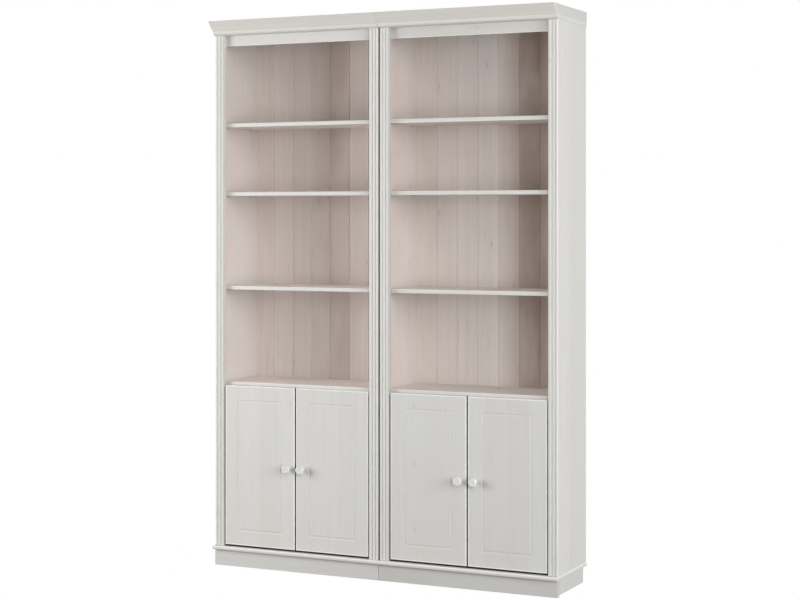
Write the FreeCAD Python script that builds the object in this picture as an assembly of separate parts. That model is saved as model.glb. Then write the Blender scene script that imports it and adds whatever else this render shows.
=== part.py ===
import FreeCAD, Part
import math
import os

# Two tall painted bookcases stand side by side. Each has three loose shelves behind an open front,
# and a cupboard with two doors and one loose shelf below them.
# Millimetres, +Z up. The origin is on the floor, in the middle of the pair's width and depth, and
# the fronts face -Y. Every piece is first made in its unit's own frame: X from the outer left face,
# Y from the front plane of the stiles towards the back, Z from the floor.

# Whole unit
CASE_HEIGHT = 2225.0
UNIT_WIDTH = 743.0
CASE_DEPTH = 314.0
SIDE_OVERHANG = 4.0

# Plinth
PLINTH_HEIGHT = 65.0
PLINTH_THICKNESS = 20.0
PLINTH_REACH = 2.0
RAIL_THICKNESS = 18.0
RAIL_INSET = 11.0
RAIL_BACK_INSET = 2.0

# Base board and its nosing
BASE_THICKNESS = 15.0
BASE_REACH = 18.0
BASE_UPPER_ROUND = 6.0
BASE_LOWER_ROUND = 4.0

# Side panels and the fluted stiles on their front edges
SIDE_THICKNESS = 21.0
SIDE_ARRIS = 1.0
STILE_WIDTH = 40.0
STILE_THICKNESS = 20.0
OUTER_RIDGE = 10.5
MIDDLE_RIDGE = 14.5
FLUTE_DEPTH = 3.4

# Back of tongue-and-groove boards. Each unit's first board is wider by its extra, and its last narrower
BOARD_COUNT = 8
FIRST_BOARD_EXTRAS = {"left_unit": 3.0, "right_unit": 8.0}
BOARD_THICKNESS = 10.0
BOARD_BEVEL = 2.0
BACK_INSET = 3.0
REBATE_WIDTH = 5.5
TONGUE_LENGTH = 4.0
TONGUE_THICKNESS = 3.0
TONGUE_CLEARANCE = 0.2

# Deck above the doors
DECK_THICKNESS = 20.0
DECK_ROUND = 3.0
DECK_LAP = 7.2
STOP_GAP = 0.5

# Loose shelves. The top one hangs a set drop below the top board, and the others take the drilled
# row nearest to a share of the height that they divide
SHELF_THICKNESS = 16.0
SHELF_ROUND = 4.0
SHELF_SETBACK = 2.0
SHELF_END_GAP = 1.0
SHELF_BACK_GAP = 1.0
CUPBOARD_SHELF_SETBACK = 40.0
TOP_SHELF_DROP = 377.0
MIDDLE_SHELF_SHARE = 0.53
LOW_SHELF_SHARE = 0.25
CUPBOARD_SHELF_SHARE = 0.55
FIRST_ROW_RISE = 22.2
ROW_PITCH = 32.0
TOP_SHELF_ROWS = (0, 1, 2, 3, 4)
MIDDLE_SHELF_ROWS = (-2, -1, 0, 1, 2)
LOW_SHELF_ROWS = (-2, -1, 0, 1, 2)
LOWEST_ROWS = (0, 1)
CUPBOARD_SHELF_ROWS = (0,)

# Shelf pins and their holes
PIN_DIAMETER = 5.0
PIN_SEAT = 9.0
PIN_REACH = 9.0
PIN_CLEARANCE = 0.05
HOLE_DEPTH = 11.0
FRONT_COLUMN_INSET = 34.0
BACK_COLUMN_INSET = 53.0

# Valance rail and top board with its bead
VALANCE_HEIGHT = 42.5
VALANCE_THICKNESS = 18.0
VALANCE_SETBACK = 1.0
VALANCE_ARRIS = 2.0
TOP_THICKNESS = 16.0
TOP_REACH = 13.5
TOP_FOOT_REACH = 1.0
TOP_SIDE_REACH = 3.0
TOP_LIP = 2.0
BEAD_REACH_SHARE = 0.8
BEAD_RISE_SHARE = 0.4

# Crown
CROWN_HEIGHT = 40.5
CROWN_REACH = 54.0
CROWN_FOOT_REACH = 15.0
CROWN_THICKNESS = 16.0
CHEEK_THICKNESS = 16.0
CHEEK_BACK_INSET = 1.0

# Doors, and the cove that marks their panels
DOOR_THICKNESS = 18.0
DOOR_RECESS = 4.0
DOOR_HEIGHT = 652.2
DOOR_FLOOR_GAP = 6.5
DOOR_SIDE_GAP = 5.0
DOOR_MIDDLE_GAP = 6.0
DOOR_ARRIS = 1.0
COVE_INSET = 62.5
COVE_WIDTH = 10.0
COVE_DEPTH = 1.35

# Turned knobs, whose outlines are shares of the radius at shares of the reach
KNOB_RADIUS = 17.5
KNOB_REACH = 30.0
KNOB_EDGE = 28.5
KNOB_RADIUS_SHARES = (0.52, 0.4, 0.37, 0.47, 0.82, 0.97, 1.0, 0.94, 0.75, 0.1)
KNOB_REACH_SHARES = (0.0, 0.12, 0.3, 0.49, 0.62, 0.71, 0.82, 0.93, 1.0, 0.975)

# Screws
SCREW_CLEARANCE = 0.05
KNOB_SCREW_RADIUS = 2.0
KNOB_SCREW_BITE = 12.0
KNOB_SCREW_HEAD_RADIUS = 4.5
KNOB_SCREW_HEAD = 2.5
CUP_SCREW_RADIUS = 1.75
CUP_SCREW_LENGTH = 14.0
CUP_SCREW_HEAD_RADIUS = 3.5
CUP_SCREW_HEAD = 1.5

# Concealed hinges: cup in the door, plate and arm on a packing block behind the stile
HINGE_END = 90.0
CUP_RADIUS = 17.5
CUP_DEPTH = 11.5
CUP_WALL = 1.0
CUP_EDGE = 22.0
CUP_FLANGE = 1.0
CUP_FLANGE_RADIUS = 19.0
CUP_EAR_WIDTH = 15.0
CUP_EAR_HEIGHT = 60.0
CUP_SCREW_PITCH = 45.0
CUP_SCREW_OFFSET = 9.5
CUP_CLEARANCE = 0.1
BLOCK_DEPTH = 75.0
BLOCK_HEIGHT = 70.0
PLATE_SETBACK = 17.0
PLATE_THICKNESS = 2.0
PLATE_LENGTH = 50.0
PLATE_WIDTH = 16.0
PLATE_WING_LENGTH = 14.0
PLATE_WING_HEIGHT = 50.0
RIDGE_WIDTH = 10.0
RIDGE_HEIGHT = 8.6
ARM_WIDTH = 15.0
ARM_WALL = 1.4
ARM_STAND_OFF = 3.0
ARM_LENGTH = 62.0
ARM_BEND = 24.0
ARM_NOSE_HEIGHT = 20.0
ARM_NOSE_LENGTH = 8.0
ARM_NOSE_GAP = 2.5

# Sides of the prisms that draw round pieces which repeat, from the finest to the largest
FINE_SIDES = 6
CUP_SIDES = 12
KNOB_SIDES = 24

# How far cutting shapes run past the faces that they open, and how near counts as lying on a plane
OVERRUN = 2.0
NEAR = 0.01

# Levels and planes that several pieces share
CASE_FLOOR = PLINTH_HEIGHT + BASE_THICKNESS
CROWN_FLOOR = CASE_HEIGHT - CROWN_HEIGHT
CASE_TOP = CROWN_FLOOR - TOP_THICKNESS
INNER_LEFT = SIDE_THICKNESS
INNER_RIGHT = UNIT_WIDTH - SIDE_THICKNESS
BACK_REAR = CASE_DEPTH - BACK_INSET
BACK_FRONT = BACK_REAR - BOARD_THICKNESS
DOOR_BACK = DOOR_RECESS + DOOR_THICKNESS
DOOR_FLOOR = CASE_FLOOR + DOOR_FLOOR_GAP
DOOR_TOP = DOOR_FLOOR + DOOR_HEIGHT
DOOR_LEFT = STILE_WIDTH + DOOR_SIDE_GAP
DOOR_WIDTH = (UNIT_WIDTH - DOOR_MIDDLE_GAP) / 2 - DOOR_LEFT
DECK_FLOOR = DOOR_TOP - DECK_LAP
DECK_TOP = DECK_FLOOR + DECK_THICKNESS
DECK_FRONT = DOOR_BACK + STOP_GAP
FRONT_COLUMN = STILE_THICKNESS + FRONT_COLUMN_INSET
BACK_COLUMN = BACK_FRONT - BACK_COLUMN_INSET
FIRST_ROW = DECK_TOP + FIRST_ROW_RISE
TOP_SHELF_LEVEL = CASE_TOP - TOP_SHELF_DROP
MIDDLE_SHELF_LEVEL = FIRST_ROW + ROW_PITCH * round(MIDDLE_SHELF_SHARE * (CASE_TOP - FIRST_ROW) / ROW_PITCH)
LOW_SHELF_LEVEL = FIRST_ROW + ROW_PITCH * round(LOW_SHELF_SHARE * (CASE_TOP - FIRST_ROW) / ROW_PITCH)
CUPBOARD_SHELF_LEVEL = FIRST_ROW - ROW_PITCH * round(
    CUPBOARD_SHELF_SHARE * (FIRST_ROW - CASE_FLOOR) / ROW_PITCH)
HINGE_LEVELS = (DOOR_FLOOR + HINGE_END, DOOR_TOP - HINGE_END)
CUP_CENTRE = DOOR_LEFT + CUP_EDGE
KNOB_CENTRE = DOOR_LEFT + DOOR_WIDTH - KNOB_EDGE
KNOB_LEVEL = (DOOR_FLOOR + DOOR_TOP) / 2

# Places of the two units in the pair's frame: their overhanging mouldings touch in the middle
UNIT_PITCH = UNIT_WIDTH + 2 * SIDE_OVERHANG
FACE_PLANE = (CROWN_REACH - CASE_DEPTH) / 2
UNIT_PLACES = {
    "left_unit": FreeCAD.Vector(SIDE_OVERHANG - UNIT_PITCH, FACE_PLANE, 0),
    "right_unit": FreeCAD.Vector(SIDE_OVERHANG, FACE_PLANE, 0),
}


def point(x, y, z):
    return FreeCAD.Vector(x, y, z)


def board(x_span, y_span, z_span):
    """Rectangular board between three pairs of planes."""
    sizes = [span[1] - span[0] for span in (x_span, y_span, z_span)]
    return Part.makeBox(*sizes, point(x_span[0], y_span[0], z_span[0]))


def prism(corners, run):
    """Solid swept from a closed polygon along a vector."""
    outline = Part.makePolygon(corners + [corners[0]])
    return Part.Face(outline).extrude(run)


def ring(radius, centre, along, sides):
    """Closed polygon square to an axis, whose flats touch the true circle; the first flat is on top."""
    reach = radius / math.cos(math.pi / sides)
    across = along.cross(point(0, 0, 1))
    turns = [2 * math.pi * (step + 1 / 2) / sides for step in range(sides)]
    corners = [centre + across * (reach * math.sin(turn)) + point(0, 0, reach * math.cos(turn))
               for turn in turns]
    return Part.makePolygon(corners + [corners[0]])


def rod(radius, start, run, sides=FINE_SIDES):
    """Level rod from a centre point along a vector."""
    along = FreeCAD.Vector(run).normalize()
    return Part.Face(ring(radius, start, along, sides)).extrude(run)


def turned(rings):
    """Turned solid through rings on one axis, each with the same number of sides, with plane facets."""
    corners = [[vertex.Point for vertex in wire.OrderedVertexes] for wire in rings]
    faces = [Part.Face(rings[0]), Part.Face(rings[-1])]
    for near, far in zip(corners, corners[1:]):
        for step, corner in enumerate(near):
            facet = [corner, near[step - 1], far[step - 1], far[step], corner]
            faces.append(Part.Face(Part.makePolygon(facet)))
    return Part.Solid(Part.Shell(faces))


def mirrored(solid):
    """The same piece on the unit's other side."""
    return solid.mirror(point(UNIT_WIDTH / 2, 0, 0), point(1, 0, 0))


def rounded(solid, radius, test):
    """Fillet every edge whose bounding box passes the test."""
    return solid.makeFillet(radius, [edge for edge in solid.Edges if test(edge.BoundBox)])


def bevelled(solid, size, test):
    """Chamfer every edge whose bounding box passes the test."""
    return solid.makeChamfer(size, [edge for edge in solid.Edges if test(edge.BoundBox)])


def on_plane(low, high, level):
    """True where a span lies flat on a level."""
    return abs(low - level) < NEAR and abs(high - level) < NEAR


def plinth_front():
    front = board((0, UNIT_WIDTH), (-PLINTH_REACH, PLINTH_THICKNESS - PLINTH_REACH), (0, PLINTH_HEIGHT))
    return [bevelled(front, SIDE_ARRIS, lambda box: on_plane(box.YMin, box.YMax, -PLINTH_REACH))]


def plinth_rails():
    """Two side rails butt against the front board, and a back rail joins them."""
    start = PLINTH_THICKNESS - PLINTH_REACH
    end = CASE_DEPTH - RAIL_BACK_INSET
    inner = RAIL_INSET + RAIL_THICKNESS
    side = board((RAIL_INSET, inner), (start, end), (0, PLINTH_HEIGHT))
    back = board((inner, UNIT_WIDTH - inner), (end - RAIL_THICKNESS, end), (0, PLINTH_HEIGHT))
    return [side, mirrored(side), back]


def base_board():
    """Board under the case, with its front and side edges rounded into a nosing."""
    width = (-SIDE_OVERHANG, UNIT_WIDTH + SIDE_OVERHANG)
    solid = board(width, (-BASE_REACH, CASE_DEPTH), (PLINTH_HEIGHT, CASE_FLOOR))
    for radius, level in ((BASE_UPPER_ROUND, CASE_FLOOR), (BASE_LOWER_ROUND, PLINTH_HEIGHT)):
        solid = rounded(solid, radius, lambda box: on_plane(box.ZMin, box.ZMax, level)
                        and box.YMin < CASE_DEPTH - NEAR)
    return [solid]


def shelf_rows():
    """Height of each drilled row in a side panel."""
    groups = (
        (TOP_SHELF_LEVEL, TOP_SHELF_ROWS),
        (MIDDLE_SHELF_LEVEL, MIDDLE_SHELF_ROWS),
        (LOW_SHELF_LEVEL, LOW_SHELF_ROWS),
        (FIRST_ROW, LOWEST_ROWS),
        (CUPBOARD_SHELF_LEVEL, CUPBOARD_SHELF_ROWS),
    )
    return [level + row * ROW_PITCH for level, rows in groups for row in rows]


def side_panel():
    """Left side panel, with a rear rebate for the back and two columns of blind holes."""
    solid = board((0, SIDE_THICKNESS), (STILE_THICKNESS, CASE_DEPTH), (CASE_FLOOR, CASE_TOP))
    solid = bevelled(solid, SIDE_ARRIS, lambda box: on_plane(box.YMin, box.YMax, CASE_DEPTH)
                     and on_plane(box.XMin, box.XMax, 0))
    rebate = board((SIDE_THICKNESS - REBATE_WIDTH, SIDE_THICKNESS + OVERRUN),
                   (BACK_FRONT, CASE_DEPTH + OVERRUN), (CASE_FLOOR - OVERRUN, CASE_TOP + OVERRUN))
    radius = PIN_DIAMETER / 2 + PIN_CLEARANCE
    run = point(HOLE_DEPTH + OVERRUN, 0, 0)
    holes = [rod(radius, point(SIDE_THICKNESS - HOLE_DEPTH, column, level), run)
             for column in (FRONT_COLUMN, BACK_COLUMN) for level in shelf_rows()]
    return solid.cut([rebate] + holes)


def stile():
    """Left stile: three convex ridges with a flute between each two, run the full height."""
    edges = []
    start = 0
    for width in (OUTER_RIDGE, MIDDLE_RIDGE, STILE_WIDTH - OUTER_RIDGE - MIDDLE_RIDGE):
        left = point(start, FLUTE_DEPTH, CASE_FLOOR)
        crest = point(start + width / 2, 0, CASE_FLOOR)
        right = point(start + width, FLUTE_DEPTH, CASE_FLOOR)
        edges.append(Part.Arc(left, crest, right).toShape())
        start += width
    corners = [point(STILE_WIDTH, FLUTE_DEPTH, CASE_FLOOR), point(STILE_WIDTH, STILE_THICKNESS, CASE_FLOOR),
               point(0, STILE_THICKNESS, CASE_FLOOR), point(0, FLUTE_DEPTH, CASE_FLOOR)]
    edges.extend(Part.makePolygon(corners).Edges)
    return Part.Face(Part.Wire(edges)).extrude(point(0, 0, CASE_TOP - CASE_FLOOR))


def back_boards(extra):
    """Tongue-and-groove boards fill the width between the rebates, with a V at each joint."""
    first = INNER_LEFT - REBATE_WIDTH
    width = (INNER_RIGHT + REBATE_WIDTH - first) / BOARD_COUNT
    middle = (BACK_FRONT + BACK_REAR) / 2
    tongue = TONGUE_THICKNESS / 2
    groove = tongue + TONGUE_CLEARANCE
    run = point(0, 0, CASE_TOP - CASE_FLOOR)
    solids = []
    for index in range(BOARD_COUNT):
        left = first + index * width + (extra if index > 0 else 0)
        right = first + (index + 1) * width + (extra if index < BOARD_COUNT - 1 else 0)
        outline = [(left, BACK_REAR), (left, BACK_FRONT)]
        if index > 0:
            depth = left + TONGUE_LENGTH + TONGUE_CLEARANCE
            outline = [(left, BACK_REAR), (left, middle + groove), (depth, middle + groove),
                       (depth, middle - groove), (left, middle - groove),
                       (left, BACK_FRONT + BOARD_BEVEL), (left + BOARD_BEVEL, BACK_FRONT)]
        if index < BOARD_COUNT - 1:
            tip = right + TONGUE_LENGTH
            outline += [(right - BOARD_BEVEL, BACK_FRONT), (right, BACK_FRONT + BOARD_BEVEL),
                        (right, middle - tongue), (tip, middle - tongue), (tip, middle + tongue),
                        (right, middle + tongue), (right, BACK_REAR)]
        else:
            outline += [(right, BACK_FRONT), (right, BACK_REAR)]
        solids.append(prism([point(x, y, CASE_FLOOR) for x, y in outline], run))
    return solids


def deck():
    solid = board((INNER_LEFT, INNER_RIGHT), (DECK_FRONT, BACK_FRONT), (DECK_FLOOR, DECK_TOP))
    return [rounded(solid, DECK_ROUND, lambda box: on_plane(box.YMin, box.YMax, DECK_FRONT)
                    and box.XLength > DECK_THICKNESS)]


def shelf(level, setback):
    """Loose shelf that lies on the pins at a level, rounded along its front."""
    front = STILE_THICKNESS + setback
    floor = level + PIN_DIAMETER / 2 + PIN_CLEARANCE
    solid = board((INNER_LEFT + SHELF_END_GAP, INNER_RIGHT - SHELF_END_GAP),
                  (front, BACK_FRONT - SHELF_BACK_GAP), (floor, floor + SHELF_THICKNESS))
    return [rounded(solid, SHELF_ROUND, lambda box: on_plane(box.YMin, box.YMax, front)
                    and box.XLength > SHELF_THICKNESS)]


def shelf_pins():
    """Four pins under each loose shelf."""
    levels = (TOP_SHELF_LEVEL, MIDDLE_SHELF_LEVEL, LOW_SHELF_LEVEL, CUPBOARD_SHELF_LEVEL)
    run = point(PIN_SEAT + PIN_REACH, 0, 0)
    pins = [rod(PIN_DIAMETER / 2, point(SIDE_THICKNESS - PIN_SEAT, column, level), run)
            for column in (FRONT_COLUMN, BACK_COLUMN) for level in levels]
    return pins + [mirrored(pin) for pin in pins]


def valance():
    """Rail under the top board, with the arris of its lower front edge taken off."""
    front = STILE_THICKNESS + VALANCE_SETBACK
    floor = CASE_TOP - VALANCE_HEIGHT
    solid = board((INNER_LEFT, INNER_RIGHT), (front, front + VALANCE_THICKNESS), (floor, CASE_TOP))
    return [bevelled(solid, VALANCE_ARRIS, lambda box: on_plane(box.YMin, box.YMax, front)
                     and on_plane(box.ZMin, box.ZMax, floor))]


def top_board():
    """Board over the case: a bead swells out under a flat lip along the front."""
    left = -TOP_SIDE_REACH
    lip = CROWN_FLOOR - TOP_LIP
    foot = point(left, -TOP_FOOT_REACH, CASE_TOP)
    upper = point(left, -TOP_REACH, lip)
    bulge = point(left, -TOP_FOOT_REACH - (TOP_REACH - TOP_FOOT_REACH) * BEAD_REACH_SHARE,
                  CASE_TOP + (lip - CASE_TOP) * BEAD_RISE_SHARE)
    corners = [upper, point(left, -TOP_REACH, CROWN_FLOOR), point(left, CASE_DEPTH, CROWN_FLOOR),
               point(left, CASE_DEPTH, CASE_TOP), foot]
    edges = Part.makePolygon(corners).Edges + [Part.Arc(foot, bulge, upper).toShape()]
    width = UNIT_WIDTH + 2 * TOP_SIDE_REACH
    return [Part.Face(Part.Wire(edges)).extrude(point(width, 0, 0))]


def crown_profile():
    """Front and back edges of the slanted board, as Y at its foot and at its top."""
    rise = CROWN_HEIGHT
    lean = CROWN_REACH - CROWN_FOOT_REACH
    slope = (rise ** 2 + lean ** 2) ** 0.5
    depth = CROWN_THICKNESS * slope / rise
    return -CROWN_FOOT_REACH, -CROWN_REACH, depth


def crown_front():
    """Flat board that leans outwards over the bead."""
    foot, head, depth = crown_profile()
    left = -SIDE_OVERHANG
    corners = [point(left, foot, CROWN_FLOOR), point(left, head, CASE_HEIGHT),
               point(left, head + depth, CASE_HEIGHT), point(left, foot + depth, CROWN_FLOOR)]
    return [prism(corners, point(UNIT_WIDTH + 2 * SIDE_OVERHANG, 0, 0))]


def crown_cheeks():
    """Upright boards along the unit's sides, cut to the slant of the crown front."""
    foot, head, depth = crown_profile()
    left = -SIDE_OVERHANG
    end = CASE_DEPTH - CHEEK_BACK_INSET
    corners = [point(left, foot + depth, CROWN_FLOOR), point(left, head + depth, CASE_HEIGHT),
               point(left, end, CASE_HEIGHT), point(left, end, CROWN_FLOOR)]
    cheek = prism(corners, point(CHEEK_THICKNESS, 0, 0))
    return [cheek, mirrored(cheek)]


def cove_ring():
    """Tube whose lowest part cuts the shallow cove round a door's panel, mitred at the corners."""
    radius = (COVE_WIDTH ** 2 / 4 + COVE_DEPTH ** 2) / (2 * COVE_DEPTH)
    depth = DOOR_RECESS + COVE_DEPTH - radius
    left = DOOR_LEFT + COVE_INSET
    right = DOOR_LEFT + DOOR_WIDTH - COVE_INSET
    low = DOOR_FLOOR + COVE_INSET
    high = DOOR_TOP - COVE_INSET
    start = point((left + right) / 2, depth, low)
    corners = [point(right, depth, low), point(right, depth, high), point(left, depth, high),
               point(left, depth, low)]
    path = Part.makePolygon([start] + corners + [start])
    circle = Part.Wire(Part.makeCircle(radius, start, point(1, 0, 0)))
    return path.makePipeShell([circle], True, False, 1)


def cup_screw_places():
    """Centres of the cup screws on the door's back, two to a cup."""
    across = CUP_CENTRE + CUP_SCREW_OFFSET
    return [(across, level + side * CUP_SCREW_PITCH / 2) for level in HINGE_LEVELS for side in (-1, 1)]


def door():
    """Left door, bored from behind for its cups and screws and through for the knob's screw."""
    solid = board((DOOR_LEFT, DOOR_LEFT + DOOR_WIDTH), (DOOR_RECESS, DOOR_BACK), (DOOR_FLOOR, DOOR_TOP))
    solid = bevelled(solid, DOOR_ARRIS, lambda box: on_plane(box.YMin, box.YMax, DOOR_RECESS))
    inward = point(0, -1, 0)
    rear = DOOR_BACK + OVERRUN
    cuts = [cove_ring()]
    for level in HINGE_LEVELS:
        cuts.append(rod(CUP_RADIUS, point(CUP_CENTRE, rear, level), inward * (CUP_DEPTH + OVERRUN), CUP_SIDES))
    for across, level in cup_screw_places():
        cuts.append(rod(CUP_SCREW_RADIUS + SCREW_CLEARANCE, point(across, rear, level),
                        inward * (CUP_SCREW_LENGTH + OVERRUN)))
    cuts.append(rod(KNOB_SCREW_RADIUS + SCREW_CLEARANCE, point(KNOB_CENTRE, rear, KNOB_LEVEL),
                    inward * (DOOR_THICKNESS + 2 * OVERRUN)))
    return solid.cut(cuts)


def knob():
    """Turned knob: a waisted neck under a round head with a soft rim and a slightly dished face."""
    outward = point(0, -1, 0)
    foot = point(KNOB_CENTRE, DOOR_RECESS, KNOB_LEVEL)
    rings = [ring(KNOB_RADIUS * width, foot + outward * (KNOB_REACH * reach), outward, KNOB_SIDES)
             for width, reach in zip(KNOB_RADIUS_SHARES, KNOB_REACH_SHARES)]
    bore = rod(KNOB_SCREW_RADIUS + SCREW_CLEARANCE, foot - outward * OVERRUN,
               outward * (KNOB_SCREW_BITE + OVERRUN))
    return turned(rings).cut(bore)


def screw(seat, radius, length, head_radius, head):
    """Screw with a low round head on its seat and a shank that runs forward from it."""
    shank = rod(radius, seat, point(0, -length, 0))
    return shank.fuse(rod(head_radius, seat, point(0, head, 0))).removeSplitter()


def door_screws():
    """The knob's screw and four cup screws."""
    solids = [screw(point(KNOB_CENTRE, DOOR_BACK, KNOB_LEVEL), KNOB_SCREW_RADIUS,
                    DOOR_THICKNESS + KNOB_SCREW_BITE - SCREW_CLEARANCE, KNOB_SCREW_HEAD_RADIUS, KNOB_SCREW_HEAD)]
    for across, level in cup_screw_places():
        solids.append(screw(point(across, DOOR_BACK + CUP_FLANGE, level), CUP_SCREW_RADIUS,
                            CUP_SCREW_LENGTH, CUP_SCREW_HEAD_RADIUS, CUP_SCREW_HEAD))
    return solids


def hinge_cups():
    """Pressed cups, open to the back, with a flange and two ears on the door's back."""
    solids = []
    for level in HINGE_LEVELS:
        centre = point(CUP_CENTRE, DOOR_BACK, level)
        inward = point(0, -1, 0)
        outer = rod(CUP_RADIUS - CUP_CLEARANCE, centre, inward * (CUP_DEPTH - CUP_CLEARANCE), CUP_SIDES)
        flange = rod(CUP_FLANGE_RADIUS, centre, point(0, CUP_FLANGE, 0), CUP_SIDES)
        across = CUP_CENTRE + CUP_SCREW_OFFSET
        ears = board((across - CUP_EAR_WIDTH / 2, across + CUP_EAR_WIDTH / 2),
                     (DOOR_BACK, DOOR_BACK + CUP_FLANGE),
                     (level - CUP_EAR_HEIGHT / 2, level + CUP_EAR_HEIGHT / 2))
        hollow = rod(CUP_RADIUS - CUP_CLEARANCE - CUP_WALL, point(CUP_CENTRE, DOOR_BACK + OVERRUN, level),
                     inward * (CUP_DEPTH - CUP_CLEARANCE - CUP_WALL + OVERRUN), CUP_SIDES)
        holes = [rod(CUP_SCREW_RADIUS + SCREW_CLEARANCE,
                     point(across, DOOR_BACK - OVERRUN, level + side * CUP_SCREW_PITCH / 2),
                     point(0, CUP_FLANGE + 2 * OVERRUN, 0)) for side in (-1, 1)]
        solids.append(outer.fuse([flange, ears]).removeSplitter().cut([hollow] + holes))
    return solids


def hinge_blocks():
    """Packing blocks that bring the side panel out flush with the stile's inner edge."""
    spans = (SIDE_THICKNESS, STILE_WIDTH), (STILE_THICKNESS, STILE_THICKNESS + BLOCK_DEPTH)
    return [board(*spans, (level - BLOCK_HEIGHT / 2, level + BLOCK_HEIGHT / 2)) for level in HINGE_LEVELS]


def hinge_plates():
    """Mounting plates: a winged base on the block, with a ridge that the arm slides over."""
    start = STILE_THICKNESS + PLATE_SETBACK
    end = start + PLATE_LENGTH
    middle = (start + end) / 2
    top = STILE_WIDTH + PLATE_THICKNESS
    solids = []
    for level in HINGE_LEVELS:
        base = board((STILE_WIDTH, top), (start, end), (level - PLATE_WIDTH / 2, level + PLATE_WIDTH / 2))
        wings = board((STILE_WIDTH, top), (middle - PLATE_WING_LENGTH / 2, middle + PLATE_WING_LENGTH / 2),
                      (level - PLATE_WING_HEIGHT / 2, level + PLATE_WING_HEIGHT / 2))
        ridge = board((top, top + RIDGE_HEIGHT), (start, end), (level - RIDGE_WIDTH / 2, level + RIDGE_WIDTH / 2))
        solids.append(base.fuse([wings, ridge]).removeSplitter())
    return solids


def hinge_arms():
    """Channel-shaped arms over the plates, cranked at the front towards the cups."""
    front = DOOR_BACK + ARM_NOSE_GAP
    end = front + ARM_LENGTH
    bend = front + ARM_BEND
    nose = front + ARM_NOSE_LENGTH
    floor = STILE_WIDTH + ARM_STAND_OFF
    roof = STILE_WIDTH + PLATE_THICKNESS + RIDGE_HEIGHT + ARM_WALL
    tip = STILE_WIDTH + ARM_NOSE_HEIGHT
    solids = []
    for level in HINGE_LEVELS:
        low = level - ARM_WIDTH / 2
        corners = [point(floor, end, low), point(roof, end, low), point(roof, bend, low),
                   point(tip, nose, low), point(tip, front, low), point(roof, front, low),
                   point(floor, nose, low)]
        outer = prism(corners, point(0, 0, ARM_WIDTH))
        channel = board((floor - OVERRUN, roof - ARM_WALL), (nose, end + OVERRUN),
                        (low + ARM_WALL, low + ARM_WIDTH - ARM_WALL))
        solids.append(outer.cut(channel))
    return solids


def save(name, solids):
    """Write one node's solids to a STEP file."""
    shape = solids[0] if len(solids) == 1 else Part.makeCompound(solids)
    shape.exportStep("parts/" + name + ".step")
    box = shape.BoundBox
    print(name, len(solids), "solids, box", [round(value, 1) for value in (
        box.XMin, box.YMin, box.ZMin, box.XMax, box.YMax, box.ZMax)])


def unit_nodes():
    """The fixed pieces that both units have alike, node by node."""
    side = side_panel()
    upright = stile()
    return {
        "plinth_front": plinth_front(),
        "plinth_rails": plinth_rails(),
        "base_board": base_board(),
        "side_left": [side],
        "side_right": [mirrored(side)],
        "stile_left": [upright],
        "stile_right": [mirrored(upright)],
        "deck": deck(),
        "valance": valance(),
        "top_board": top_board(),
        "crown_front": crown_front(),
        "crown_cheeks": crown_cheeks(),
        "shelf_top": shelf(TOP_SHELF_LEVEL, SHELF_SETBACK),
        "shelf_middle": shelf(MIDDLE_SHELF_LEVEL, SHELF_SETBACK),
        "shelf_low": shelf(LOW_SHELF_LEVEL, SHELF_SETBACK),
        "cupboard_shelf": shelf(CUPBOARD_SHELF_LEVEL, CUPBOARD_SHELF_SETBACK),
    }


def door_nodes():
    """The pieces of a left door; the right door has their mirror images."""
    return {
        "door": [door()],
        "knob": [knob()],
        "door_screws": door_screws(),
        "hinge_cups": hinge_cups(),
    }


def hinge_hardware():
    """Identical fittings of one unit, which the pair's nodes gather by kind."""
    nodes = {"shelf_pins": shelf_pins()}
    for name, solids in (("hinge_blocks", hinge_blocks()), ("hinge_plates", hinge_plates()),
                         ("hinge_arms", hinge_arms())):
        nodes[name] = solids + [mirrored(solid) for solid in solids]
    return nodes


def main():
    os.makedirs("parts", exist_ok=True)
    fixed = unit_nodes()
    doors = door_nodes()
    hardware = hinge_hardware()
    gathered = {name: [] for name in hardware}
    for unit, place in UNIT_PLACES.items():
        fixed["back_boards"] = back_boards(FIRST_BOARD_EXTRAS[unit])
        for name, solids in fixed.items():
            save(unit + "_" + name, [solid.translated(place) for solid in solids])
        for name, solids in doors.items():
            save(unit + "_left_" + name, [solid.translated(place) for solid in solids])
            save(unit + "_right_" + name, [mirrored(solid).translated(place) for solid in solids])
        for name, solids in hardware.items():
            gathered[name] += [solid.translated(place) for solid in solids]
    for name, solids in gathered.items():
        save(name, solids)


main()
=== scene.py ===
import logging
import math
from dataclasses import dataclass, replace
from enum import Enum
from typing import Callable

import bmesh
import bpy
import numpy as np
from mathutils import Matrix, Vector
from mathutils.geometry import delaunay_2d_cdt


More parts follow.
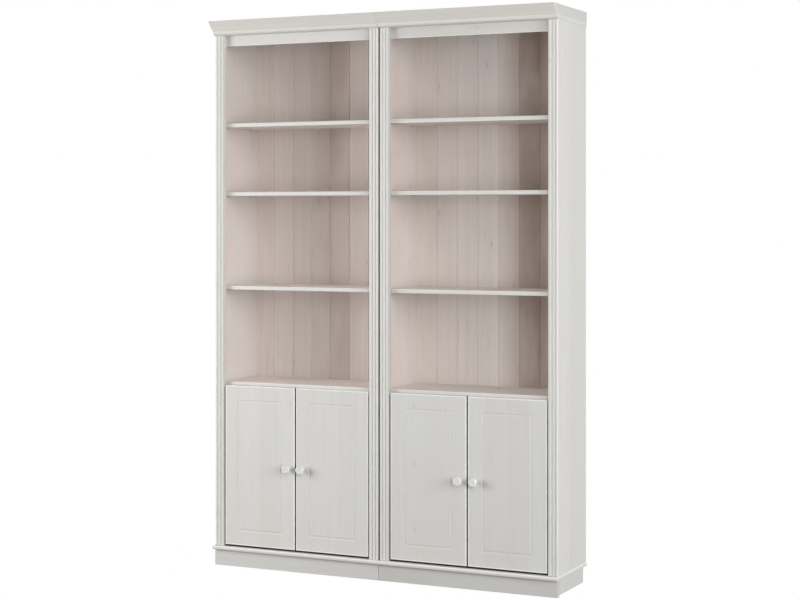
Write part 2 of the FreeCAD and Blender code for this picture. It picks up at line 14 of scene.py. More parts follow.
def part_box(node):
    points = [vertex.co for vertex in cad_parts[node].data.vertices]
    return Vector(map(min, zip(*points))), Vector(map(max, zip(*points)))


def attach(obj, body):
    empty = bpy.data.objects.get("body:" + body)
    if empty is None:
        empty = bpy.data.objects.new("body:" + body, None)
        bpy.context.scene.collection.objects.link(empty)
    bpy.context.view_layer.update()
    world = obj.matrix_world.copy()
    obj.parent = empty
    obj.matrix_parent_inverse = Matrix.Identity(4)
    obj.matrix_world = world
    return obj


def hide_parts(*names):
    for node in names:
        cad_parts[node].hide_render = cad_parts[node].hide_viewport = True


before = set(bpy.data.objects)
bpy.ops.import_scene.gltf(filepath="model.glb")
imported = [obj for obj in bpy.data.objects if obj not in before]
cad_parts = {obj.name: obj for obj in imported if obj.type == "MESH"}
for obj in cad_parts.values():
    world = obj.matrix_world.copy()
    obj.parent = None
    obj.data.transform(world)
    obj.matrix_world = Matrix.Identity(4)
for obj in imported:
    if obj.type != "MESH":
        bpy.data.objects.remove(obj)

# Two painted pine bookcases stand side by side. Each class dresses one sub-assembly of the packed
# frame: it takes the places of its pieces from the frame's nodes, works out their surfaces as
# arrays, and gives them their finishes. Lengths are metres, +Z is up and the fronts face -Y.

log = logging.getLogger("bookcase")
Array = np.ndarray
Span = tuple[float, float]
Triple = tuple[float, float, float]
Colour = Triple
Radii = tuple[float, float, float, float]
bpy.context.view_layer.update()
MM = 0.001
# Guard points lie this far beside an arc, and points closer than the next two are merged or taken as one place
GUARD, MERGE, TOUCH = 0.6 * MM, 0.004 * MM, 0.1 * MM
# Shares of an edge that a corner's round and its guard point may take up, and least turn of a corner
EDGE_SHARE, GUARD_SHARE, LEAST_TURN = 0.45, 0.04, 0.02
# Shares of the tightest corner that an end and its guard may be drawn in by, and rows of points in its arris
SPARE, END_STEPS = (0.6, 0.3), 4


@dataclass(frozen=True)
class Look:
    """What sets one unit apart: its first back board's extra width, how far its pieces are stained, and its painted
    shade.

    Each back board has the stain of its left edge and of its right edge, and the shelves have
    that of their boards and of their front edges. The other pairs are for the left and the right
    side: doors, side panels' insides, painted shade on the stiles' last flanks, stiles, the share
    of the stiles' arris marks that shows, and painted shade in the gaps at the doors' outer edges.
    """

    extra: float
    boards: tuple[Span, ...]
    crown: float
    valance: float
    plinth: float
    shelves: Span
    doors: Span
    linings: Span
    flank_shades: Span
    stiles: Span
    arris_share: Span
    gap_shade: Span = (0.5, 0.1)


LOOKS = {
    "left_unit": Look(
        extra=3.0 * MM, crown=0.02, valance=0.0, plinth=0.10, shelves=(0.0, 0.0), doors=(0.0, 0.02),
        linings=(0.0, 0.0), flank_shades=(0.22, 0.0), stiles=(0.0, 0.0), arris_share=(0.8, 0.8),
        boards=((0.13, 0.12), (0.02, 0.0), (0.10, 0.14), (0.16, 0.50), (0.53, 0.46), (0.33, 0.15), (0.15, 0.10),
                (0.10, 0.08))),
    "right_unit": Look(
        extra=8.0 * MM, crown=0.05, valance=0.11, plinth=0.21, shelves=(0.14, 0.07), doors=(0.05, 0.06),
        linings=(0.09, 0.0), flank_shades=(0.40, 0.0), stiles=(0.0, 0.05), arris_share=(0.8, 0.15),
        boards=((0.21, 0.18), (0.12, 0.08), (0.02, 0.02), (0.0, 0.0), (0.14, 0.44), (0.58, 0.71), (0.62, 0.38),
                (0.38, 0.34))),
}
SIDES = ("left", "right")
SHELVES = ("shelf_top", "shelf_middle", "shelf_low", "cupboard_shelf")


class Lay(Enum):
    """How a board lies: the turn that brings its fibres to Z and its thickness to Y."""

    FRONT = (0.0, 0.0, 0.0)
    SIDE = (0.0, 0.0, 90.0)
    SHELF = (90.0, 90.0, 0.0)
    RAIL = (0.0, 90.0, 0.0)
    CHEEK = (90.0, 0.0, 90.0)


class Run(Enum):
    """Axis that a profile is carried along, as the columns of its two own axes and of the run."""

    ALONG_X = (1, 2, 0)
    ALONG_Y = (0, 2, 1)
    ALONG_Z = (0, 1, 2)


# Outlines and surfaces


@dataclass
class Outline:
    """Closed outline of a section, anticlockwise, with how much each of its points is an arris.

    Its tightest outer corner has a radius that no end of a run may be drawn in by.
    """

    points: Array
    arris_mark: Array
    tight: float = math.inf

    @property
    def normals(self) -> Array:
        """Outward normals: the mean of the two edge normals at a point, lengthened at a corner.

        Returns:
            A row for each point.
        """
        ahead = np.roll(self.points, -1, axis=0) - self.points
        ahead /= np.linalg.norm(ahead, axis=1, keepdims=True)
        edge = np.column_stack([ahead[:, 1], -ahead[:, 0]])
        mean = edge + np.roll(edge, 1, axis=0)
        mean /= np.linalg.norm(mean, axis=1, keepdims=True)
        lean = np.clip((mean * edge).sum(axis=1, keepdims=True), 0.6, 1.0)
        return mean / lean


def softened(corners: Array, radii: Array, steps: int = 5) -> Outline:
    """Round the corners of a polygon.

    An arc of the given radius touches both edges of a corner at radius times the tangent of half
    the turn. A guard point just outside each end of the arc keeps the flat faces flat in shading.

    Args:
        corners: Polygon corners, one row each.
        radii: Radius at each corner, where nothing is rounded at zero.
        steps: Facets in each arc.

    Returns:
        The rounded outline, anticlockwise.
    """
    corners = np.asarray(corners, float)
    radii = np.asarray(radii, float)
    following = np.roll(corners, -1, axis=0)
    if float((corners[:, 0] * following[:, 1] - following[:, 0] * corners[:, 1]).sum()) < 0:
        corners, radii = corners[::-1], radii[::-1]
    points, arris_mark, tight = [], [], math.inf
    for index, (corner, radius) in enumerate(zip(corners, radii)):
        into = corner - corners[index - 1]
        out = corners[(index + 1) % len(corners)] - corner
        lengths = np.linalg.norm(into), np.linalg.norm(out)
        into, out = into / lengths[0], out / lengths[1]
        turn = math.atan2(into[0] * out[1] - into[1] * out[0], float(into @ out))
        if radius <= 0 or abs(turn) < LEAST_TURN:
            points.append(corner[None])
            arris_mark.append([0.0])
            continue
        reach = min(radius * abs(math.tan(turn / 2)), EDGE_SHARE * min(lengths))
        radius = reach / abs(math.tan(turn / 2))
        tight = min(tight, radius) if turn > 0 else tight
        inward = np.array([-into[1], into[0]]) * math.copysign(1.0, turn)
        centre = corner - into * reach + inward * radius
        angle = np.linspace(0.0, abs(turn), steps + 1)[:, None]
        arc = centre - inward * radius * np.cos(angle) + into * radius * np.sin(angle)
        guard = min(GUARD, GUARD_SHARE * min(lengths))
        points += [(corner - into * (reach + guard))[None], arc, (corner + out * (reach + guard))[None]]
        swell = np.sin(np.linspace(0.0, math.pi, steps + 1))
        arris_mark += [[0.0], list(swell if turn > 0 else -swell), [0.0]]
    return Outline(np.concatenate(points), np.concatenate([np.asarray(part, float) for part in arris_mark]), tight)


def rectangle(across: Span, up: Span, radii: Radii) -> Outline:
    """Rounded rectangle; its radii run from the low corner of both spans anticlockwise."""
    corners = [(across[0], up[0]), (across[1], up[0]), (across[1], up[1]), (across[0], up[1])]
    return softened(np.array(corners), np.array(radii))


def circle(across: float, up: float, radius: float, steps: int) -> Array:
    """Points of a circle, in two columns."""
    turn = np.linspace(0.0, 2 * math.pi, steps, endpoint=False)
    return np.column_stack([across + radius * np.cos(turn), up + radius * np.sin(turn)])


def halfway(span: Span) -> float:
    """Middle of a span."""
    return (span[0] + span[1]) / 2


def around(grid: Array) -> Array:
    """Border of a grid, once round."""
    return np.concatenate([grid[0, :-1], grid[:-1, -1], grid[-1, :0:-1], grid[:0:-1, 0]])


def arc_through(start: Span, crest: Span, end: Span, steps: int) -> Array:
    """Points of the circular arc through three points, without its last point.

    The centre is where the bisectors of the two chords meet, and the angle runs evenly between
    the ends by way of the crest.

    Args:
        start: First point.
        crest: Point on the way.
        end: Last point.
        steps: How many points it gives.

    Returns:
        The points in two columns.
    """
    (ax, ay), (bx, by), (cx, cy) = start, crest, end
    area = 2 * (ax * (by - cy) + bx * (cy - ay) + cx * (ay - by))
    squares = [ax * ax + ay * ay, bx * bx + by * by, cx * cx + cy * cy]
    x = (squares[0] * (by - cy) + squares[1] * (cy - ay) + squares[2] * (ay - by)) / area
    y = (squares[0] * (cx - bx) + squares[1] * (ax - cx) + squares[2] * (bx - ax)) / area
    radius = math.hypot(ax - x, ay - y)
    first, middle, last = [math.atan2(py - y, px - x) for px, py in (start, crest, end)]
    middle = first + math.remainder(middle - first, 2 * math.pi)
    last = middle + math.remainder(last - middle, 2 * math.pi)
    angle = np.linspace(first, last, steps + 1)[:-1]
    return np.column_stack([x + radius * np.cos(angle), y + radius * np.sin(angle)])


class Shape:
    """Points, faces and marks of one piece, gathered surface by surface."""

    def __init__(self) -> None:
        """Start with nothing."""
        self.points: list[Array] = []
        self.arris_mark: list[Array] = []
        self.tone: list[Array] = []
        self.faces: list[list[int]] = []
        self.count = 0

    def add(self, points: Array, arris_mark: Array | float = 0.0, tone: Array | float = 0.0) -> Array:
        """Add points of any array shape and return their numbers in that shape.

        Args:
            points: Places, with X, Y and Z last.
            arris_mark: How much each is an arris, or below nought a hollow.
            tone: How far each is stained.

        Returns:
            The numbers, in the points' array shape.
        """
        flat = points.reshape(-1, 3)
        self.points.append(flat)
        for marks, values in ((self.arris_mark, arris_mark), (self.tone, tone)):
            marks.append(np.broadcast_to(np.asarray(values, float), points.shape[:-1]).reshape(-1))
        numbers = np.arange(self.count, self.count + len(flat)).reshape(points.shape[:-1])
        self.count += len(flat)
        return numbers

    def weave(self, numbers: Array, closed: bool = False) -> None:
        """Join a grid of point numbers with four-sided faces, round and round where closed.

        Args:
            numbers: Rows of point numbers.
            closed: Whether the rows run round.
        """
        if closed:
            numbers = np.concatenate([numbers, numbers[:, :1]], axis=1)
        quads = np.stack([numbers[:-1, :-1], numbers[:-1, 1:], numbers[1:, 1:], numbers[1:, :-1]], axis=-1)
        self.faces += quads.reshape(-1, 4).tolist()

    def close(self, numbers: Array) -> None:
        """Join rings of point numbers round and round, and close the first and the last."""
        self.weave(numbers, closed=True)
        self.faces += [numbers[0][::-1].tolist(), numbers[-1].tolist()]

    def bore(self, rings: Array, arris_mark: Array | float = 0.0, tone: Array | float = 0.0) -> Array:
        """Sink a blind hole through its rings and return the numbers of its mouth.

        Args:
            rings: Points of each ring, the mouth first.
            arris_mark: Marks of arrises and hollows.
            tone: Marks of stain.

        Returns:
            The mouth's numbers.
        """
        numbers = self.add(rings, arris_mark, tone)
        self.weave(numbers, closed=True)
        self.faces.append(numbers[-1].tolist())
        return numbers[0]

    def carry(self, outline: Outline, span: Span, run: Run, soft: float,
              tone: float | Callable[[Array], Array] = 0.0, far: Outline | None = None,
              halts: tuple[float, ...] = (), arris_share: float = 1.0) -> None:
        """Carry an outline along an axis and close it with softened ends.

        Stations near an end lie at soft times one minus the cosine of an angle, and there the
        outline is drawn in along its normals by soft times one minus the sine of that angle.
        Where a far outline is given, the section changes into it evenly along the run. The ends
        are drawn in by less than the outline's tightest corner, so that they never cross.

        Args:
            outline: The section, in the run's two own axes.
            span: Where the run starts and ends.
            run: Which axis it follows.
            soft: Radius of the arris round each end.
            tone: Mark of this board's shade, or what gives it from the points.
            far: The section at the end of the run, with as many points.
            halts: Further stations in between, in order.
            arris_share: Share of the arris marks that shows.
        """
        soft, guard = min(soft, outline.tight * SPARE[0]), min(GUARD, outline.tight * SPARE[1])
        angle = np.linspace(0.0, math.pi / 2, END_STEPS)
        rise = np.append(soft * (1 - np.cos(angle)), soft + guard)
        inset = np.append(soft * (1 - np.sin(angle)), 0.0)
        swell = np.append(np.sin(2 * angle), 0.0)
        rise, inset, swell = [np.insert(values, 0, first) for values, first in (
            (rise, 0.0), (inset, soft + guard), (swell, 0.0))]
        none = np.zeros(len(halts))
        stations = np.concatenate([span[0] + rise, halts, (span[1] - rise)[::-1]])
        insets = np.concatenate([inset, none, inset[::-1]])
        swells = np.concatenate([swell, none, swell[::-1]])
        share = ((stations - span[0]) / (span[1] - span[0]))[:, None, None]
        end = far or outline
        section = (1 - share) * outline.points + share * end.points
        section = section - insets[:, None, None] * ((1 - share) * outline.normals + share * end.normals)
        grid = np.empty(section.shape[:2] + (3,))
        grid[..., run.value[0]] = section[..., 0]
        grid[..., run.value[1]] = section[..., 1]
        grid[..., run.value[2]] = stations[:, None]
        arris_mark = np.where(np.abs(outline.arris_mark)[None] > swells[:, None], outline.arris_mark[None], swells[:, None])
        self.close(self.add(grid, arris_share * arris_mark, tone(grid) if callable(tone) else tone))

    def turn(self, profile: Array, centre: Triple, along: Triple, segments: int,
             arris_mark: Array | float = 0.0, petals: Array | float = 0.0) -> None:
        """Turn a profile round a level axis and close its ends.

        A point at radius r and reach t goes to the centre plus t along the axis, plus r times the
        cosine of the turn sideways and r times its sine upwards. Petals swell a row's radius by
        their share times the cosine of four turns.

        Args:
            profile: Rows of radius and reach.
            centre: Where the axis starts.
            along: Level direction of the axis.
            segments: Divisions of the turn.
            arris_mark: Mark of each row.
            petals: Share of the swelling of each row.
        """
        angle = np.linspace(0.0, 2 * math.pi, segments, endpoint=False)
        radius = profile[:, :1] * (1 + np.broadcast_to(petals, len(profile))[:, None] * np.cos(4 * angle))
        sideways = np.cross(along, (0.0, 0.0, 1.0))
        grid = (np.array(centre) + profile[:, 1, None, None] * np.array(along)
                + (radius * np.cos(angle))[..., None] * sideways
                + (radius * np.sin(angle))[..., None] * np.array((0.0, 0.0, 1.0)))
        self.close(self.add(grid, np.broadcast_to(arris_mark, len(profile))[:, None]))

    def fill(self, loops: list[Array], drop: int) -> None:
        """Fill a flat face between its outer loop and the loops of its holes.

        Args:
            loops: Point numbers, the outer loop first.
            drop: Axis that the face is square to, left out of the plane triangulation.
        """
        numbers = np.concatenate(loops)
        flat = np.delete(np.concatenate(self.points)[numbers], drop, axis=1)
        edges, first = [], 0
        for loop in loops:
            edges += [(first + i, first + (i + 1) % len(loop)) for i in range(len(loop))]
            first += len(loop)
        found = delaunay_2d_cdt([Vector(p) for p in flat.tolist()], edges, [], 2, 1e-7)
        lookup = [numbers[source[0]] for source in found[3]]
        self.faces += [[int(lookup[i]) for i in face] for face in found[2]]

    def make(self, name: str, sharp: float = 38.0) -> bpy.types.Object:
        """Turn the gathered surfaces into one closed mesh object with outward faces.

        Args:
            name: Name of the object.
            sharp: Angle in degrees above which an edge is drawn sharp.

        Returns:
            The object, at the origin.
        """
        mesh = bpy.data.meshes.new(name)
        mesh.from_pydata(np.concatenate(self.points).tolist(), [], self.faces)
        for label, values in (("arris_mark", self.arris_mark), ("tone", self.tone)):
            layer = mesh.attributes.new(label, "FLOAT", "POINT")
            layer.data.foreach_set("value", np.concatenate(values).astype(np.float32))
        work = bmesh.new()
        work.from_mesh(mesh)
        bmesh.ops.remove_doubles(work, verts=work.verts, dist=MERGE)
        bmesh.ops.recalc_face_normals(work, faces=work.faces)
        work.to_mesh(mesh)
        work.free()
        mesh.polygons.foreach_set("use_smooth", np.ones(len(mesh.polygons), bool))
        mesh.set_sharp_from_angle(angle=math.radians(sharp))
        return stand(name, mesh)


def stand(name: str, data: bpy.types.ID, place: object = (0.0, 0.0, 0.0),
          turn: object = (0.0, 0.0, 0.0)) -> bpy.types.Object:
    """Put an object with its data into the scene.

    Args:
        name: Name of the object.
        data: Its mesh, lamp or camera.
        place: Where it stands.
        turn: Its turn about X, Y and Z.

    Returns:
        The object.
    """
    thing = bpy.data.objects.new(name, data)
    thing.location, thing.rotation_euler = place, turn
    bpy.context.scene.collection.objects.link(thing)
    return thing


def fading(span: Span, marks: Span, end: float) -> Callable[[Array], Array]:
    """Mark that changes evenly along X from one value to another, on what lies in front of an end."""
    return lambda places: np.interp(places[..., 0], span, marks) * (places[..., 1] < end)


def smooth_line(knots: Array, steps: int) -> Array:
    """Curve through its knots by the cubic whose slopes are half the chord between neighbours.

    Args:
        knots: Rows of points.
        steps: Points from one knot to the next.

    Returns:
        Rows of points, the last knot too.
    """
    padded = np.vstack([2 * knots[0] - knots[1], knots, 2 * knots[-1] - knots[-2]])
    t = np.linspace(0.0, 1.0, steps, endpoint=False)[None, :, None]
    a, b, c, d = [padded[i:len(padded) - 3 + i, None, :] for i in range(4)]
    curve = 0.5 * (2 * b + (c - a) * t + (2 * a - 5 * b + 4 * c - d) * t ** 2
                   + (3 * b - a - 3 * c + d) * t ** 3)
    return np.vstack([curve.reshape(-1, knots.shape[1]), knots[-1:]])


# Finishes


class Signal:
    """Value or colour in a shader tree. Reckoning with it adds Math nodes."""

    def __init__(self, net: "Net", socket: bpy.types.NodeSocket) -> None:
        """Hold the socket and the net that it is in."""
        self.net, self.socket = net, socket

    def math(self, operation: str, other: object = 0.0) -> "Signal":
        """Result of one Math node on this value and another."""
        return self.net.put("Math", 0, {"operation": operation}, n0=self, n1=other)

    def __add__(self, other: object) -> "Signal":
        """Sum."""
        return self.math("ADD", other)

    def __sub__(self, other: object) -> "Signal":
        """Difference."""
        return self.math("SUBTRACT", other)

    def __mul__(self, other: object) -> "Signal":
        """Product."""
        return self.math("MULTIPLY", other)

    def ramp(self, low: float, high: float, bottom: float = 0.0, top: float = 1.0) -> "Signal":
        """Smooth step from bottom to top between low and high."""
        return self.net.put("MapRange", 0, {"interpolation_type": "SMOOTHSTEP"}, Value=self,
                            From_Min=low, From_Max=high, To_Min=bottom, To_Max=top)


class Net:
    """Shader tree with short ways to add its nodes."""

    def __init__(self, tree: bpy.types.NodeTree) -> None:
        """Start from an empty tree."""
        self.tree = tree
        tree.nodes.clear()

    def node(self, kind: str, settings: dict | None = None, **inputs: object) -> bpy.types.Node:
        """Add a node, set its properties, and set or link its inputs.

        Args:
            kind: Type of node, without its first words.
            settings: Properties of the node.
            inputs: Values for its inputs by name, with underscores for blanks, or by n and number.

        Returns:
            The node.
        """
        node = self.tree.nodes.new(kind if kind.startswith("NodeGroup") else "ShaderNode" + kind)
        for key, value in (settings or {}).items():
            setattr(node, key, value)
        for key, value in inputs.items():
            socket = node.inputs[int(key[1:]) if key[1:].isdigit() else key.replace("_", " ")]
            if isinstance(value, Signal):
                self.tree.links.new(value.socket, socket)
            else:
                socket.default_value = value
        return node

    def put(self, kind: str, output: str | int = 0, settings: dict | None = None, **inputs: object) -> Signal:
        """Add a node and give one of its outputs."""
        return Signal(self, self.node(kind, settings, **inputs).outputs[output])

    def split(self, kind: str, settings: dict | None = None, **inputs: object) -> dict[str, Signal]:
        """Add a node and give all of its outputs by name."""
        return {socket.name: Signal(self, socket) for socket in self.node(kind, settings, **inputs).outputs}

    def shared(self, name: str, **inputs: object) -> dict[str, Signal]:
        """Outputs of a shared group."""
        return self.split("Group", {"node_tree": bpy.data.node_groups[name]}, **inputs)

    def noise(self, vector: object, scale: object = 1.0, detail: float = 3.0, roughness: float = 0.6) -> Signal:
        """Soft noise at a vector."""
        return self.put("TexNoise", Vector=vector, Scale=scale, Detail=detail, Roughness=roughness)

    def blend(self, factor: object, first: object, second: object, kind: str = "MIX") -> Signal:
        """Mix two colours."""
        colours = [value + (1.0,) if isinstance(value, tuple) else value for value in (first, second)]
        return self.put("Mix", 2, {"data_type": "RGBA", "blend_type": kind}, n0=factor, n6=colours[0], n7=colours[1])

    def surface(self, colour: Signal, rough: Signal, height: Signal, bump: Span, **others: float) -> None:
        """Main shader of a material, with a bump's strength and depth, linked to the output.

        Args:
            colour: Colour of the surface.
            rough: Its roughness.
            height: Relief that the bump follows.
            bump: Strength and depth of the bump.
            others: Further inputs of the shader by name.
        """
        normal = self.put("Bump", Strength=bump[0], Distance=bump[1], Height=height)
        shader = self.put("BsdfPrincipled", Base_Color=colour, Roughness=rough, Normal=normal, **others)
        self.node("OutputMaterial", n0=shader)

    def two_faced(self, lit: Signal, seen: Signal, kind: str) -> None:
        """Show the camera one shader and light the rest with another."""
        camera = self.put("LightPath", "Is Camera Ray")
        self.node("Output" + kind, n0=self.put("MixShader", n0=camera, n1=lit, n2=seen))


def new_material(name: str) -> tuple[bpy.types.Material, Net]:
    """Material with an empty tree.

    Args:
        name: Name of the material.

    Returns:
        The material and its net.
    """
    material = bpy.data.materials.new(name)
    material.use_nodes = True
    return material, Net(material.node_tree)


def group(name: str, inputs: dict[str, tuple[str, float]],
          outputs: tuple[str, ...]) -> tuple[Net, dict[str, Signal]]:
    """Shader node group with named sockets.

    Args:
        name: Name of the group.
        inputs: Socket kind and first value by name.
        outputs: Names of its values.

    Returns:
        The group's net, and what enters it.
    """
    tree = bpy.data.node_groups.new(name, "ShaderNodeTree")
    for label, (kind, value) in inputs.items():
        socket = tree.interface.new_socket(label, in_out="INPUT", socket_type="NodeSocket" + kind)
        if kind == "Float":
            socket.default_value = value
    for label in outputs:
        tree.interface.new_socket(label, in_out="OUTPUT", socket_type="NodeSocketFloat")
    net = Net(tree)
    return net, net.split("NodeGroupInput")


@dataclass(frozen=True)
class PineGrain:
    """Fibres, year rings, knots, flecks and clouding of a pine board whose fibres run along Z.

    Fibres are noise drawn out along Z. Year rings are sine bands across the board, bent by slow
    noise and by the knots. Knots and flecks are the middles of cells in the plane of the board,
    kept in some of the cells and drawn out along the fibres. A stave is one of the strips glued
    up into a board. Names of many things are their repeats to the metre, across the board,
    through it where there are three, and along it. The pair of one thing is where it fades in.
    """

    layers: float = 2.4
    layer_shift: Span = (7.3, 3.1)
    stave_shift: float = 3.7
    wobbles: Triple = (60.0, 60.0, 30.0)
    wobble: float = 0.05
    knots: Span = (9.0, 4.0)
    knot: Span = (0.055, 0.015)
    halo: Span = (0.28, 0.03)
    flecks: Span = (26.0, 2.6)
    fleck: Span = (0.075, 0.02)
    flecks_kept: float = 0.16
    smudges: Triple = (22.0, 9.0, 4.2)
    smudge: Span = (0.60, 0.78)
    bends: Triple = (5.0, 2.0, 0.9)
    bend: float = 26.0
    halo_bend: float = 3.5
    rings: float = 190.0
    ring: Span = (-0.2, 1.0)
    strands: Triple = (150.0, 150.0, 3.0)
    strand: Span = (0.36, 0.66)
    streaks: Triple = (34.0, 34.0, 1.3)
    streak: Span = (0.38, 0.68)
    strand_share: float = 0.55
    clouds: Triple = (7.5, 4.0, 2.2)
    cloud: Span = (0.3, 0.7)
    relief: Triple = (0.7, 0.25, 0.6)

    def make(self) -> None:
        """Build the shared group."""
        net, enter = group("pine grain", {"Position": ("Vector", 0.0), "Stave Width": ("Float", 0.09),
                                          "Knots Kept": ("Float", 0.4)},
                           ("Fibre", "Rings", "Knot", "Halo", "Fleck", "Smudge", "Cloud", "Stave", "Relief"))
        across, deep, along = net.split("SeparateXYZ", n0=enter["Position"]).values()

        def stretched(scale: Triple, slide: object = 0.0, sway: object = 0.0) -> Signal:
            """Board coordinates scaled along each axis, slid through the board and bent across it."""
            return net.put("CombineXYZ", X=across * scale[0] + sway, Y=deep * scale[1] + slide, Z=along * scale[2])

        level = (deep * self.layers).math("FLOOR")
        step = net.put("CombineXYZ", X=across.math("DIVIDE", enter["Stave Width"]).math("FLOOR"), Y=level)
        chance = net.put("TexWhiteNoise", "Value", {"noise_dimensions": "3D"}, Vector=step)
        shift = chance * self.stave_shift
        wobble = net.noise(stretched(self.wobbles), 1.0, 2.0, 0.5)

        def cells(scale: Span, kept: object) -> tuple[Signal, Signal]:
            """Distance to the nearest cell's middle in the board's plane, and whether that cell is kept.

            Args:
                scale: Repeats to the metre across and along the board.
                kept: Share of the cells that is kept.

            Returns:
                The distance, and one where the cell is kept.
            """
            plane = net.put("CombineXYZ", X=across * scale[0] + level * self.layer_shift[0],
                            Y=along * scale[1] + level * self.layer_shift[1] + wobble * self.wobble)
            found = net.split("TexVoronoi", {"feature": "F1", "voronoi_dimensions": "2D"}, Vector=plane, Scale=1.0,
                              Randomness=1.0)
            return found["Distance"], net.put("SeparateColor", n0=found["Color"]).math("LESS_THAN", kept)

        near, gate = cells(self.knots, enter["Knots Kept"])
        knot, halo = near.ramp(*self.knot) * gate, near.ramp(*self.halo) * gate
        near, gate = cells(self.flecks, self.flecks_kept)
        bend = net.noise(stretched(self.bends, shift), 1.0, 2.0, 0.5) * self.bend + halo * self.halo_bend
        rings = (across * self.rings + bend).math("SINE").ramp(*self.ring)
        fine = net.noise(stretched(self.strands, shift, bend), 1.0, 4.0, 0.62).ramp(*self.strand)
        coarse = net.noise(stretched(self.streaks, shift), 1.0, 3.0, 0.55).ramp(*self.streak)
        fibre = fine * self.strand_share + coarse * (1.0 - self.strand_share)
        smudge = net.noise(stretched(self.smudges, shift)).ramp(*self.smudge)
        cloud = net.noise(stretched(self.clouds)).ramp(*self.cloud)
        relief = fibre * self.relief[0] - (rings * self.relief[1] + knot * self.relief[2])
        net.node("NodeGroupOutput", Fibre=fibre, Rings=rings, Knot=knot, Halo=halo, Smudge=smudge, Cloud=cloud,
                 Fleck=near.ramp(*self.fleck) * gate, Stave=chance, Relief=relief)


def arris_marks_group() -> None:
    """Marks along arrises, broken up by noise, that lighten them as handling wear with a painted highlight, and
    hollows that hold glaze, with painted shade at the crown bead's crease.
    """
    net, enter = group("arris and hollow marks", {"Position": ("Vector", 0.0), "Breakup": ("Float", 60.0)}, ("Arris", "Hollow"))
    mark = net.put("Attribute", "Fac", {"attribute_name": "arris_mark"})
    patchy = net.noise(enter["Position"], enter["Breakup"]).ramp(0.35, 0.62, 0.75, 1.0)
    net.node("NodeGroupOutput", Arris=mark.ramp(0.05, 0.8) * patchy, Hollow=mark.ramp(-0.05, -0.8))


@dataclass(frozen=True)
class GlazedPine:
    """White glaze on pine, thin enough for the grain to show through.

    A share is how far one thing colours the glaze. The height shade share darkens it with height,
    and the front shade share towards the front of the case, both as painted shade.
    """

    name: str
    glaze: Colour = (0.608, 0.606, 0.586)
    warm: Colour = (0.622, 0.584, 0.549)
    fibre: Colour = (0.515, 0.492, 0.462)
    knot: Colour = (0.340, 0.300, 0.265)
    deep: Colour = (0.125, 0.118, 0.110)
    # Arris colour: handling wear on the arrises, with a painted highlight
    arris: Colour = (0.930, 0.925, 0.910)
    # Hollow colour: glaze held in hollows, and painted shade in the crown bead's crease
    hollow: Colour = (0.360, 0.345, 0.325)
    warm_share: float = 0.60
    fibre_share: float = 0.12
    ring_share: float = 0.06
    knot_share: float = 0.22
    halo_share: float = 0.16
    fleck_share: float = 0.10
    smudge_share: float = 0.05
    stave_share: float = 0.04
    hollow_share: float = 0.6
    knots_kept: float = 0.14
    stave: float = 0.09
    patches: Span = (0.85, 0.3)
    roughness: float = 0.46
    fibre_rough: float = 0.10
    shine: float = 0.42
    bump: Span = (0.12, 0.0006)
    # Painted shade: darker towards the top, and darker towards the front of the case
    height_shade_share: float = 0.0
    height_shade_span: Span = (1.15, 2.15)
    front_shade_share: float = 0.0
    front_shade_span: Span = (-0.13, 0.17)

    def make(self, lay: Lay) -> bpy.types.Material:
        """Build the material for boards that lie one way.

        Args:
            lay: How the board lies.

        Returns:
            The material.
        """
        material, net = new_material(f"{self.name}_{lay.name.lower()}")
        place = net.put("TexCoord", "Object")
        turned = net.put("Mapping", n0=place, Rotation=[math.radians(value) for value in lay.value])
        grain = net.shared("pine grain", Position=turned, Stave_Width=self.stave, Knots_Kept=self.knots_kept)
        arris_marks = net.shared("arris and hollow marks", Position=place)
        tone = net.put("Attribute", "Fac", {"attribute_name": "tone"})
        spots = (grain["Knot"] + grain["Halo"] * self.halo_share) * self.knot_share
        spots += grain["Fleck"] * self.fleck_share + grain["Smudge"] * self.smudge_share
        _, depth, height = net.split("SeparateXYZ", n0=place).values()
        # Stain from the tone marks, which also carry painted gap shade, plus painted shade that deepens with height
        # and towards the case's front
        stain_and_shade = tone * (grain["Cloud"] * self.patches[1] + self.patches[0]) + (
            height.ramp(*self.height_shade_span, 0.0, self.height_shade_share)
            + depth.ramp(*self.front_shade_span, self.front_shade_share, 0.0))
        shade = grain["Stave"] * -self.stave_share + 1.0
        grey = net.put("CombineColor", Red=shade, Green=shade, Blue=shade)
        colour = self.glaze
        for share, tint, kind in (
                ((grain["Cloud"] + grain["Stave"]) * (0.5 * self.warm_share), self.warm, "MIX"),
                (grain["Fibre"] * self.fibre_share, self.fibre, "MIX"),
                (grain["Rings"] * self.ring_share, self.fibre, "MIX"),
                (spots, self.knot, "MIX"), (stain_and_shade, self.deep, "MIX"), (1.0, grey, "MULTIPLY"),
                (arris_marks["Arris"], self.arris, "MIX"), (arris_marks["Hollow"] * self.hollow_share, self.hollow, "MIX")):
            colour = net.blend(share, colour, tint, kind)
        rough = grain["Fibre"] * self.fibre_rough + self.roughness
        net.surface(colour, rough, grain["Relief"], self.bump, Specular_IOR_Level=self.shine)
        return material


@dataclass(frozen=True)
class KnobLacquer:
    """Thick white lacquer on turned beech."""

    body: Colour = (0.655, 0.655, 0.638)
    hollow: Colour = (0.57, 0.56, 0.54)
    specks: float = 240.0
    speck_share: float = 0.18
    hollow_share: float = 0.8
    rough: Span = (0.27, 0.12)
    bump: Span = (0.08, 0.0003)
    coat: Span = (0.15, 0.2)

    def make(self) -> bpy.types.Material:
        """Build the material.

        Returns:
            The material.
        """
        material, net = new_material("knob_lacquer")
        place = net.put("TexCoord", "Object")
        speck = net.noise(place, self.specks, 3.0, 0.5)
        arris_marks = net.shared("arris and hollow marks", Position=place, Breakup=120.0)
        shade = speck.ramp(0.4, 0.7) * self.speck_share + arris_marks["Hollow"] * self.hollow_share
        net.surface(net.blend(shade, self.body, self.hollow), speck * self.rough[1] + self.rough[0], speck,
                    self.bump, Coat_Weight=self.coat[0], Coat_Roughness=self.coat[1])
        return material


